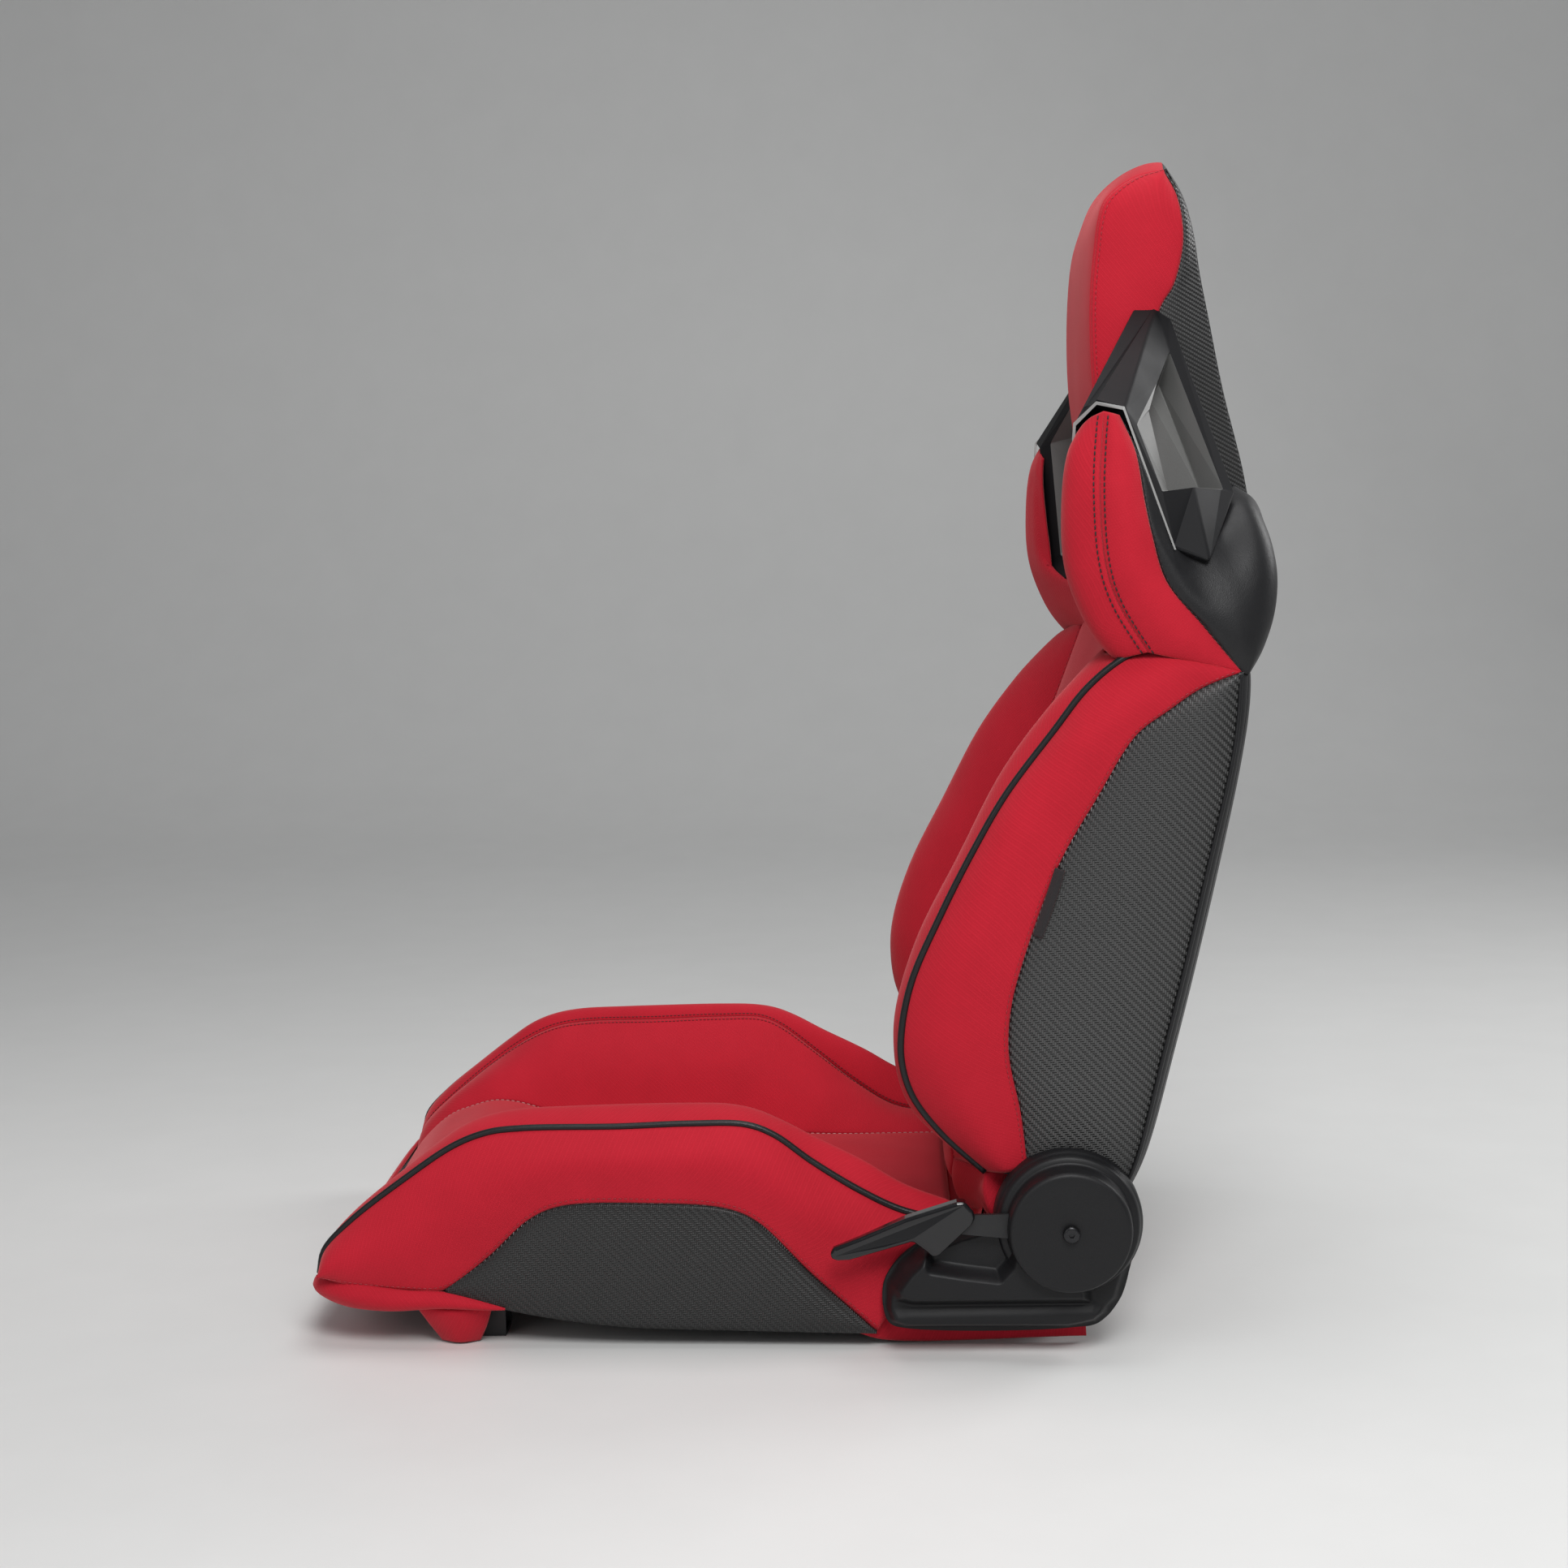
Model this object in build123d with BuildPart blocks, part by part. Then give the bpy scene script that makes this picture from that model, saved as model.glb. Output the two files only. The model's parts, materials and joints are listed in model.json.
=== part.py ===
"""Reclining racing seat in millimetres: floor frame, recliners, release lever and padded backrest.

+Z is up, the sitter faces -Y and +X is the sitter's left, the side with the release lever.
The origin is on the floor, in the middle of the four mounting holes.
"""

import os
from math import cos, pi, radians, sin, tan

from build123d import *

os.makedirs("parts", exist_ok=True)

ON_FLOOR = (Align.CENTER, Align.CENTER, Align.MIN)

# cuts right through the seat from front to rear start behind it and are longer than it is
BEHIND_SEAT = 500
THROUGH_SEAT = 1000

# floor mounting: an M8 bolt goes up into each corner
MOUNT_WIDTH = 400
MOUNT_DEPTH = 340
M8_RADIUS = 4
M8_CLEARANCE = 4.5
M8_NUT_BORE = 4.2
M8_FLATS = 13
M8_NUT_HEIGHT = 6.5
M8_HEAD_HEIGHT = 5.5

# the feet and the two side rails on them
FOOT_LENGTH = 44
FOOT_HEIGHT = 24
FOOT_PLATE = 4
FOOT_WALL = 3
RAIL_SIZE = 30
RAIL_WALL = 2
RAIL_FRONT = -235
RAIL_REAR = 300
RAIL_X = MOUNT_WIDTH / 2
RAIL_OUTER = RAIL_X + RAIL_SIZE / 2
RAIL_INNER = RAIL_X - RAIL_SIZE / 2
RAIL_MID = FOOT_HEIGHT + RAIL_SIZE / 2

# tubes and sinuous springs
TUBE_RADIUS = 12.5
TUBE_WALL = 2
FRONT_TUBE_Y = -205
REAR_TUBE_Y = 212
WIRE_RADIUS = 2
WIRE_GAP = 0.1
SPRING_SPACING = 60
SPRING_REACH = 22
SPRING_BEND = 9

# hinge line of the backrest: y and z
PIVOT = (290, 103)
PIVOT_Y, PIVOT_Z = PIVOT

# recliner stack outwards from the back arm, as x positions on the left side
ARM_INSIDE = 232
ARM_THICKNESS = 5
GEAR_INSIDE = ARM_INSIDE + ARM_THICKNESS
GEAR_WIDTH = 4.9
GEAR_RADIUS = 37.15
GEAR_TIP = 28.6
GEAR_ROOT = 30.2
GEAR_TEETH = 60
CUP_INSIDE = GEAR_INSIDE + 0.3
CUP_FLOOR = 242.5
CUP_BORE = GEAR_RADIUS + 0.05
CUP_RADIUS = 41
BRACKET_INSIDE = 246
BRACKET_THICKNESS = 5
COVER_BACK = BRACKET_INSIDE + BRACKET_THICKNESS
COVER_FRONT = 294
COVER_WALL = 2.5

# release rod through both recliners, with its cams and sliding pawls
ROD_RADIUS = 6
ROD_END = 284
PAWL_INSIDE = 238
PAWL_THICKNESS = 4
PAWL_WIDTH = 18
PAWL_TIP = 28.2
PAWL_VALLEY = 27
CAM_REST_ANGLE = 106.5

# padding, as x positions on the left side
CUSHION_HALF = 150
CUSHION_BOLSTER_OUTER = 250
BACK_HALF = 155
BACK_BOLSTER_INNER = 156
BACK_BOLSTER_OUTER = 256
WING_INNER = 120
WING_OUTER = 250
HEADREST_HALF = 113
CUSHION_BOTTOM = 57
CUSHION_REAR = 193
RECLINER_ROOM = 62

# the straight part of the backrest frame leans back from the vertical
BACK_LEAN = 12.4
BACK_TUBE_X = ARM_INSIDE - TUBE_RADIUS
BACK_TUBE_Y = 359
BACK_TUBE_Z = 300
BACK_PLANE = Plane(
    origin=(0, BACK_TUBE_Y, BACK_TUBE_Z),
    x_dir=(1, 0, 0),
    z_dir=(0, -cos(radians(BACK_LEAN)), sin(radians(BACK_LEAN))),
)
BAR_RADIUS = 8
LOWER_BAR = -120
UPPER_BAR = 190


def across(x):
    """Plane square to the seat's width at x: its own x runs rearwards and its own y runs up."""
    return Plane.YZ.offset(x)


def facing(y):
    """Plane square to the seat's length at y: its own x runs to the left and its own y runs up."""
    return Plane.XZ.offset(-y)


def other_side(left):
    """The same piece on the sitter's right."""
    with BuildPart() as right:
        add(left)
        mirror(about=Plane.YZ, mode=Mode.REPLACE)
    return right


def disc(x, thickness, radius, bore, centre=PIVOT):
    """Round plate or tube square to the width, from x outwards."""
    with BuildPart() as plate:
        with BuildSketch(across(x)):
            with Locations(centre):
                Circle(radius)
                Circle(bore, mode=Mode.SUBTRACT)
        extrude(amount=thickness)
    return plate


def side_block(outline, x, width):
    """Solid with a straight-sided outline in the side view, from x outwards."""
    with BuildPart() as block:
        with BuildSketch(across(x)):
            with BuildLine():
                Polyline(*outline, close=True)
            make_face()
        extrude(amount=width)
    return block


def sinuous_corners(start, stop, strokes, reach):
    """Corners of a zigzag wire from start to stop along y that swings reach to each side."""
    step = (stop - start) / (strokes + 1)
    swings = [0] + [reach * (-1) ** n for n in range(strokes - 1)] + [0]
    corners = [(0, start)]
    for n in range(strokes):
        y = start + (n + 1) * step
        corners += [(swings[n], y), (swings[n + 1], y)]
    return corners + [(0, stop)]


def sinuous_spring(plane, start, stop, strokes):
    """One zigzag spring lying in a plane."""
    corners = sinuous_corners(start, stop, strokes, SPRING_REACH)
    with BuildPart() as spring:
        with BuildLine(plane) as wire:
            FilletPolyline(*corners, radius=SPRING_BEND)
        with BuildSketch(Plane(origin=wire.line @ 0, z_dir=wire.line % 0)):
            Circle(WIRE_RADIUS)
        sweep(path=wire.line)
    return spring


def spring_clips_on(plane, ends, columns, bar_radius):
    """Clips that hold the ends of sinuous springs on two bars: the wire runs above each bar."""
    clip_length = 12
    clip_width = 10
    clip_bottom = bar_radius - 0.3
    clip_height = 5.4
    wire_height = bar_radius + WIRE_RADIUS + WIRE_GAP
    with BuildPart() as clips:
        for end in ends:
            with BuildSketch(plane.offset(clip_bottom)):
                with Locations(*[(column, end) for column in columns]):
                    Rectangle(clip_width, clip_length)
        extrude(amount=clip_height)
        for end in ends:
            for column in columns:
                spot = plane.location * Pos(column, end, wire_height)
                with Locations(spot * Rot(90, 0, 0)):
                    Cylinder(WIRE_RADIUS + WIRE_GAP / 2, 2 * clip_length, mode=Mode.SUBTRACT)
            with Locations(plane.location * Pos(0, end, 0) * Rot(0, 90, 0)):
                Cylinder(bar_radius + WIRE_GAP / 2, MOUNT_WIDTH, mode=Mode.SUBTRACT)
    return clips


# ---------------------------------------------------------------------------
# floor frame
# ---------------------------------------------------------------------------

with BuildPart() as mounting_feet:
    with GridLocations(MOUNT_WIDTH, MOUNT_DEPTH, 2, 2):
        Box(RAIL_SIZE, FOOT_LENGTH, FOOT_HEIGHT, align=ON_FLOOR)
    with Locations((0, 0, FOOT_PLATE)):
        with GridLocations(MOUNT_WIDTH, MOUNT_DEPTH, 2, 2):
            foot_inside = RAIL_SIZE - 2 * FOOT_WALL
            Box(foot_inside, FOOT_LENGTH, FOOT_HEIGHT, align=ON_FLOOR, mode=Mode.SUBTRACT)
    with GridLocations(MOUNT_WIDTH, MOUNT_DEPTH, 2, 2):
        Cylinder(M8_CLEARANCE, FOOT_PLATE, align=ON_FLOOR, mode=Mode.SUBTRACT)
mounting_feet.part.label = "mounting_feet"
export_step(mounting_feet.part, "parts/mounting_feet.step")

with BuildPart() as weld_nuts:
    with BuildSketch(Plane.XY.offset(FOOT_PLATE)):
        with GridLocations(MOUNT_WIDTH, MOUNT_DEPTH, 2, 2):
            RegularPolygon(M8_FLATS / 2, 6, major_radius=False)
            Circle(M8_NUT_BORE, mode=Mode.SUBTRACT)
    extrude(amount=M8_NUT_HEIGHT)
weld_nuts.part.label = "weld_nuts"
export_step(weld_nuts.part, "parts/weld_nuts.step")

BRACKET_BOLTS = [(175, RAIL_MID), (250, RAIL_MID)]

with BuildPart() as left_side_rail:
    rail_length = RAIL_REAR - RAIL_FRONT
    rail_inside = RAIL_SIZE - 2 * RAIL_WALL
    with Locations((RAIL_X, (RAIL_FRONT + RAIL_REAR) / 2, RAIL_MID)):
        Box(RAIL_SIZE, rail_length, RAIL_SIZE)
        Box(rail_inside, rail_length, rail_inside, mode=Mode.SUBTRACT)
    with BuildSketch(across(RAIL_INNER)):
        with Locations(*BRACKET_BOLTS):
            Circle(M8_CLEARANCE)
    extrude(amount=RAIL_SIZE, mode=Mode.SUBTRACT)
    with Locations((RAIL_X, -MOUNT_DEPTH / 2, FOOT_HEIGHT), (RAIL_X, MOUNT_DEPTH / 2, FOOT_HEIGHT)):
        Cylinder(M8_CLEARANCE, RAIL_WALL, align=ON_FLOOR, mode=Mode.SUBTRACT)
left_side_rail.part.label = "left_side_rail"
export_step(left_side_rail.part, "parts/left_side_rail.step")

right_side_rail = other_side(left_side_rail.part)
right_side_rail.part.label = "right_side_rail"
export_step(right_side_rail.part, "parts/right_side_rail.step")


def cross_tube(y):
    """Tube between the rails, open at its ends."""
    return disc(-RAIL_INNER, 2 * RAIL_INNER, TUBE_RADIUS, TUBE_RADIUS - TUBE_WALL, (y, RAIL_MID))


front_cross_tube = cross_tube(FRONT_TUBE_Y)
front_cross_tube.part.label = "front_cross_tube"
export_step(front_cross_tube.part, "parts/front_cross_tube.step")

rear_cross_tube = cross_tube(REAR_TUBE_Y)
rear_cross_tube.part.label = "rear_cross_tube"
export_step(rear_cross_tube.part, "parts/rear_cross_tube.step")

SPRING_END = 6
SEAT_SPRING_PLANE = Plane.XY.offset(RAIL_MID + TUBE_RADIUS + WIRE_RADIUS + WIRE_GAP)
one_seat_spring = sinuous_spring(
    SEAT_SPRING_PLANE, FRONT_TUBE_Y - SPRING_END, REAR_TUBE_Y + SPRING_END, strokes=15
)
with BuildPart() as seat_springs:
    with GridLocations(SPRING_SPACING, 0, 5, 1):
        add(one_seat_spring.part)
seat_springs.part.label = "seat_springs"
export_step(seat_springs.part, "parts/seat_springs.step")

SEAT_SPRING_COLUMNS = [n * SPRING_SPACING for n in (-2, -1, 0, 1, 2)]
seat_spring_clips = spring_clips_on(
    Plane.XY.offset(RAIL_MID), (FRONT_TUBE_Y, REAR_TUBE_Y), SEAT_SPRING_COLUMNS, TUBE_RADIUS
)
seat_spring_clips.part.label = "seat_spring_clips"
export_step(seat_spring_clips.part, "parts/seat_spring_clips.step")

# ---------------------------------------------------------------------------
# cushion foam
# ---------------------------------------------------------------------------

CUSHION_CENTRE_LINE = [
    (-292, CUSHION_BOTTOM),
    (-290, 82),
    (-262, 110),
    (-215, 130),
    (-165, 130),
    (-60, 104),
    (90, 84),
    (CUSHION_REAR, 80),
    (CUSHION_REAR, CUSHION_BOTTOM),
]
cushion_centre_pad = side_block(CUSHION_CENTRE_LINE, -CUSHION_HALF, 2 * CUSHION_HALF)
cushion_centre_pad.part.label = "cushion_centre_pad"
export_step(cushion_centre_pad.part, "parts/cushion_centre_pad.step")

LIP_REAR = -238
LIP_BOTTOM = 31
LIP_HALF = CUSHION_BOLSTER_OUTER - 10
CUSHION_LIP_LINE = [
    (-292, CUSHION_BOTTOM),
    (-290, 38),
    (-273, LIP_BOTTOM),
    (LIP_REAR, LIP_BOTTOM),
    (LIP_REAR, CUSHION_BOTTOM),
]
cushion_front_lip = side_block(CUSHION_LIP_LINE, -LIP_HALF, 2 * LIP_HALF)
cushion_front_lip.part.label = "cushion_front_lip"
export_step(cushion_front_lip.part, "parts/cushion_front_lip.step")

# side view of the cushion bolster, from its front tip over the crest to its rear
CUSHION_CREST_LINE = [
    (-292, CUSHION_BOTTOM),
    (-288, 78),
    (-266, 101),
    (-221, 136),
    (-182, 164),
    (-156, 175),
    (-97, 180),
    (0, 182),
    (48, 180),
    (72, 166),
    (132, 130),
    (CUSHION_REAR, 98),
    (CUSHION_REAR, CUSHION_BOTTOM),
]
# the outer skirt hangs over the rail, with a flap down to the floor beside the front foot
BRACKET_FRONT = 146
CUSHION_SKIRT_LINE = [
    (LIP_REAR, CUSHION_BOTTOM),
    (LIP_REAR, LIP_BOTTOM),
    (-213, LIP_BOTTOM),
    (-197, 1),
    (-166, 1),
    (-154, LIP_BOTTOM),
    (-63, 18),
    (BRACKET_FRONT, 13),
    (BRACKET_FRONT, CUSHION_BOTTOM),
]
SKIRT_THICKNESS = 16
SKIRT_INSIDE = CUSHION_BOLSTER_OUTER - SKIRT_THICKNESS
# the hem of the cover runs on rearwards beside the rail
CUSHION_REAR_HEM_LINE = [(118, 3), (305, 3), (305, 21), (118, 21)]
HEM_INSIDE = RAIL_OUTER + 3
HEM_WIDTH = 22
BOLSTER_BESIDE_RECLINER = 244
# seen from the front, the crest slopes down to both sides from these points
CREST_TOP = 185
INNER_SLOPE = [(CUSHION_HALF, 100), (200, CREST_TOP), (CUSHION_HALF, CREST_TOP)]
OUTER_SLOPE = [(228, CREST_TOP), (CUSHION_BOLSTER_OUTER, 110), (CUSHION_BOLSTER_OUTER, CREST_TOP)]

with BuildPart() as left_cushion_bolster:
    with BuildSketch(across(CUSHION_HALF)):
        with BuildLine():
            Polyline(*CUSHION_CREST_LINE, close=True)
        make_face()
    extrude(amount=CUSHION_BOLSTER_OUTER - CUSHION_HALF)
    with BuildSketch(across(SKIRT_INSIDE)):
        with BuildLine():
            Polyline(*CUSHION_SKIRT_LINE, close=True)
        make_face()
    extrude(amount=CUSHION_BOLSTER_OUTER - SKIRT_INSIDE)
    with BuildSketch(across(HEM_INSIDE)):
        with BuildLine():
            Polyline(*CUSHION_REAR_HEM_LINE, close=True)
        make_face()
    extrude(amount=HEM_WIDTH)
    with BuildSketch(facing(BEHIND_SEAT)):
        for slope in (INNER_SLOPE, OUTER_SLOPE):
            with BuildLine():
                Polyline(*slope, close=True)
            make_face()
    extrude(amount=THROUGH_SEAT, mode=Mode.SUBTRACT)
    with Locations((BOLSTER_BESIDE_RECLINER, BRACKET_FRONT, 0)):
        Box(THROUGH_SEAT, THROUGH_SEAT, THROUGH_SEAT, align=Align.MIN, mode=Mode.SUBTRACT)
left_cushion_bolster.part.label = "left_cushion_bolster"
export_step(left_cushion_bolster.part, "parts/left_cushion_bolster.step")

right_cushion_bolster = other_side(left_cushion_bolster.part)
right_cushion_bolster.part.label = "right_cushion_bolster"
export_step(right_cushion_bolster.part, "parts/right_cushion_bolster.step")

# ---------------------------------------------------------------------------
# recliner, fixed side
# ---------------------------------------------------------------------------

# side view of the cover's flange: a lobe forwards over the bracket and a round rim on the hinge
COVER_FLANGE_LINE = [
    (300, 19),
    (156, 19),
    (149, 42),
    (150, 57),
    (160, 72),
    (176, 85),
    (236, 106),
    (300, 106),
    (338, 75),
    (330, 40),
]
# the raised part of the lobe, around the lowered shelf under the lever
COVER_LOBE_LINE = [
    (292, 28),
    (160, 28),
    (154, 44),
    (155, 56),
    (164, 68),
    (180, 78),
    (187, 66),
    (228, 58),
    (244, 72),
    (292, 80),
]
COVER_RIM = 56
COVER_CONE_TOP = 50
COVER_DISC = 46
COVER_STEP = 3
COVER_CORNER = 6
COVER_CONE = 10
COVER_EDGE = 3
FLANGE_FRONT = 256
RIM_FRONT = 262
SHELF_FRONT = 268
LOBE_FRONT = 282


def cover_outline(points, inset):
    """Closed outline in the side view with rounded corners, drawn in by an inset."""
    with BuildSketch() as outline:
        with BuildLine():
            Polyline(*points, close=True)
        make_face()
        fillet(outline.vertices(), COVER_CORNER)
        if inset:
            offset(amount=-inset, mode=Mode.REPLACE)
    return outline.sketch


def cover_form(inset):
    """The cover as a filled form, or with an inset the hollow behind its wall."""
    flange = cover_outline(COVER_FLANGE_LINE, inset)
    shelf = cover_outline(COVER_FLANGE_LINE, inset + COVER_STEP)
    lobe = cover_outline(COVER_LOBE_LINE, inset + COVER_STEP / 2)
    with BuildPart() as form:
        for outline, front in ((flange, FLANGE_FRONT), (shelf, SHELF_FRONT), (lobe, LOBE_FRONT)):
            with BuildSketch(across(COVER_BACK)):
                add(outline)
            extrude(amount=front - inset - COVER_BACK)
        with BuildSketch(across(COVER_BACK)):
            with Locations(PIVOT):
                Circle(COVER_RIM - inset)
        extrude(amount=RIM_FRONT - inset - COVER_BACK)
        with BuildSketch(across(RIM_FRONT - inset)):
            with Locations(PIVOT):
                Circle(COVER_RIM - inset)
        with BuildSketch(across(RIM_FRONT + COVER_CONE - inset)):
            with Locations(PIVOT):
                Circle(COVER_CONE_TOP - inset)
        loft()
        with BuildSketch(across(COVER_BACK)):
            with Locations(PIVOT):
                Circle(COVER_DISC - inset)
        extrude(amount=COVER_FRONT - inset - COVER_BACK)
        fillet(form.edges().filter_by(GeomType.CIRCLE).sort_by(Axis.X)[-1], COVER_EDGE)
    return form


solid_cover = cover_form(inset=0)
cover_hollow = cover_form(inset=COVER_WALL)
SCREW_HOLE = 4

with BuildPart() as plain_cover:
    add(solid_cover.part)
    add(cover_hollow.part, mode=Mode.SUBTRACT)
    with BuildSketch(across(COVER_FRONT)):
        with Locations(PIVOT):
            Circle(SCREW_HOLE)
    extrude(amount=-2 * COVER_WALL, mode=Mode.SUBTRACT)

right_recliner_cover = other_side(plain_cover.part)
right_recliner_cover.part.label = "right_recliner_cover"
export_step(right_recliner_cover.part, "parts/right_recliner_cover.step")

# the lever side has a slot in the disc's rim and in the step below it, where the arm comes out
LEVER_THICKNESS = 4
LEVER_INSIDE = 274
SLOT_INSIDE = LEVER_INSIDE - 1.5
SLOT_WIDTH = LEVER_THICKNESS + 3
SLOT_REACH = 70
SLOT_TOP = radians(136)
SLOT_BOTTOM = radians(196)

with BuildPart() as left_recliner_cover:
    add(plain_cover.part)
    with BuildSketch(across(SLOT_INSIDE)):
        with BuildLine():
            Polyline(
                PIVOT,
                (PIVOT_Y + SLOT_REACH * cos(SLOT_TOP), PIVOT_Z + SLOT_REACH * sin(SLOT_TOP)),
                (PIVOT_Y - SLOT_REACH, PIVOT_Z),
                (PIVOT_Y + SLOT_REACH * cos(SLOT_BOTTOM), PIVOT_Z + SLOT_REACH * sin(SLOT_BOTTOM)),
                close=True,
            )
        make_face()
    extrude(amount=SLOT_WIDTH, mode=Mode.SUBTRACT)
left_recliner_cover.part.label = "left_recliner_cover"
export_step(left_recliner_cover.part, "parts/left_recliner_cover.step")

BRACKET_INSET = 3
ROD_CLEARANCE = ROD_RADIUS + 0.3

with BuildPart() as left_recliner_bracket:
    with BuildSketch(across(BRACKET_INSIDE)):
        add(cover_outline(COVER_FLANGE_LINE, BRACKET_INSET))
        with Locations(PIVOT):
            Circle(COVER_RIM - BRACKET_INSET)
            Circle(ROD_CLEARANCE, mode=Mode.SUBTRACT)
        with Locations(*BRACKET_BOLTS):
            Circle(M8_CLEARANCE, mode=Mode.SUBTRACT)
    extrude(amount=BRACKET_THICKNESS)
left_recliner_bracket.part.label = "left_recliner_bracket"
export_step(left_recliner_bracket.part, "parts/left_recliner_bracket.step")

right_recliner_bracket = other_side(left_recliner_bracket.part)
right_recliner_bracket.part.label = "right_recliner_bracket"
export_step(right_recliner_bracket.part, "parts/right_recliner_bracket.step")

SPACER_RADIUS = 9

with BuildPart() as bracket_spacers:
    with BuildSketch(across(RAIL_OUTER)):
        with Locations(*BRACKET_BOLTS):
            Circle(SPACER_RADIUS)
            Circle(M8_CLEARANCE, mode=Mode.SUBTRACT)
    extrude(amount=BRACKET_INSIDE - RAIL_OUTER)
    mirror(about=Plane.YZ)
bracket_spacers.part.label = "bracket_spacers"
export_step(bracket_spacers.part, "parts/bracket_spacers.step")

with BuildPart() as bracket_bolts:
    with BuildSketch(across(RAIL_INNER - M8_NUT_HEIGHT)):
        with Locations(*BRACKET_BOLTS):
            Circle(M8_RADIUS)
    extrude(amount=COVER_BACK - RAIL_INNER + M8_NUT_HEIGHT)
    with BuildSketch(across(COVER_BACK)):
        with Locations(*BRACKET_BOLTS):
            RegularPolygon(M8_FLATS / 2, 6, major_radius=False)
    extrude(amount=M8_HEAD_HEIGHT)
    mirror(about=Plane.YZ)
bracket_bolts.part.label = "bracket_bolts"
export_step(bracket_bolts.part, "parts/bracket_bolts.step")

with BuildPart() as bracket_nuts:
    with BuildSketch(across(RAIL_INNER - M8_NUT_HEIGHT)):
        with Locations(*BRACKET_BOLTS):
            RegularPolygon(M8_FLATS / 2, 6, major_radius=False)
            Circle(M8_NUT_BORE, mode=Mode.SUBTRACT)
    extrude(amount=M8_NUT_HEIGHT)
    mirror(about=Plane.YZ)
bracket_nuts.part.label = "bracket_nuts"
export_step(bracket_nuts.part, "parts/bracket_nuts.step")

GUIDE_RADIUS = 27
PAWL_GUIDE = PAWL_WIDTH + 0.1
GUIDE_LENGTH = 2 * CUP_BORE - 1

with BuildPart() as left_recliner_housing:
    with BuildSketch(across(CUP_FLOOR)):
        with Locations(PIVOT):
            Circle(CUP_RADIUS)
            Circle(ROD_CLEARANCE, mode=Mode.SUBTRACT)
    extrude(amount=BRACKET_INSIDE - CUP_FLOOR)
    with BuildSketch(across(CUP_INSIDE)):
        with Locations(PIVOT):
            Circle(CUP_RADIUS)
            Circle(CUP_BORE, mode=Mode.SUBTRACT)
            Circle(GUIDE_RADIUS)
            Rectangle(PAWL_GUIDE, GUIDE_LENGTH, mode=Mode.SUBTRACT)
    extrude(amount=CUP_FLOOR - CUP_INSIDE)
left_recliner_housing.part.label = "left_recliner_housing"
export_step(left_recliner_housing.part, "parts/left_recliner_housing.step")

right_recliner_housing = other_side(left_recliner_housing.part)
right_recliner_housing.part.label = "right_recliner_housing"
export_step(right_recliner_housing.part, "parts/right_recliner_housing.step")

HUB_RADIUS = 13
HUB_LENGTH = 12

spring_hub = disc(COVER_BACK, HUB_LENGTH, HUB_RADIUS, ROD_CLEARANCE)
with BuildPart() as spring_hubs:
    add(spring_hub.part)
    mirror(about=Plane.YZ)
spring_hubs.part.label = "spring_hubs"
export_step(spring_hubs.part, "parts/spring_hubs.step")

SPIRAL_START = 14
SPIRAL_END = 41
SPIRAL_TURNS = 3
SPIRAL_STRIP = 2.5
SPIRAL_X = 253
SPIRAL_WIDTH = 8
SPIRAL_POINTS = 36


def spiral_points(thickness):
    """Points along one face of the spiral strip, thickness out from its inner face."""
    growth = (SPIRAL_END - SPIRAL_STRIP - SPIRAL_START) / SPIRAL_POINTS
    radii = [SPIRAL_START + thickness + growth * n for n in range(SPIRAL_POINTS + 1)]
    angles = [2 * pi * SPIRAL_TURNS * n / SPIRAL_POINTS for n in range(SPIRAL_POINTS + 1)]
    return [(PIVOT_Y + r * cos(a), PIVOT_Z + r * sin(a)) for r, a in zip(radii, angles)]


with BuildPart() as left_recline_spring:
    with BuildSketch(across(SPIRAL_X)):
        with BuildLine():
            inner_face = Spline(*spiral_points(0))
            outer_face = Spline(*spiral_points(SPIRAL_STRIP))
            Line(inner_face @ 0, outer_face @ 0)
            Line(inner_face @ 1, outer_face @ 1)
        make_face()
    extrude(amount=SPIRAL_WIDTH)
left_recline_spring.part.label = "left_recline_spring"
export_step(left_recline_spring.part, "parts/left_recline_spring.step")

right_recline_spring = other_side(left_recline_spring.part)
right_recline_spring.part.label = "right_recline_spring"
export_step(right_recline_spring.part, "parts/right_recline_spring.step")

COIL_PITCH = 2
COIL_LENGTH = 8
COIL_RADIUS = ROD_RADIUS + 2.2
COIL_INSIDE = COVER_BACK + HUB_LENGTH + 1.5
COIL_WIRE = 0.8

with BuildPart() as lever_return_spring:
    with BuildLine() as coil:
        Helix(
            pitch=COIL_PITCH, height=COIL_LENGTH, radius=COIL_RADIUS,
            center=(COIL_INSIDE, PIVOT_Y, PIVOT_Z), direction=(1, 0, 0),
        )
    with BuildSketch(Plane(origin=coil.line @ 0, z_dir=coil.line % 0)):
        Circle(COIL_WIRE)
    sweep(path=coil.line)
lever_return_spring.part.label = "lever_return_spring"
export_step(lever_return_spring.part, "parts/lever_return_spring.step")

# ---------------------------------------------------------------------------
# release lever, rod, cams and pawls
# ---------------------------------------------------------------------------

SCREW_RADIUS = 3
SCREW_BORE = SCREW_RADIUS + 0.1
SCREW_GRIP = 11
SCREW_HEAD_RADIUS = 6.5
SCREW_HEAD_ROUND = 2
SCREW_SOCKET = 2
SCREW_HEAD_GAP = 0.2
SCREW_HEAD_HEIGHT = 3.8

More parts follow.
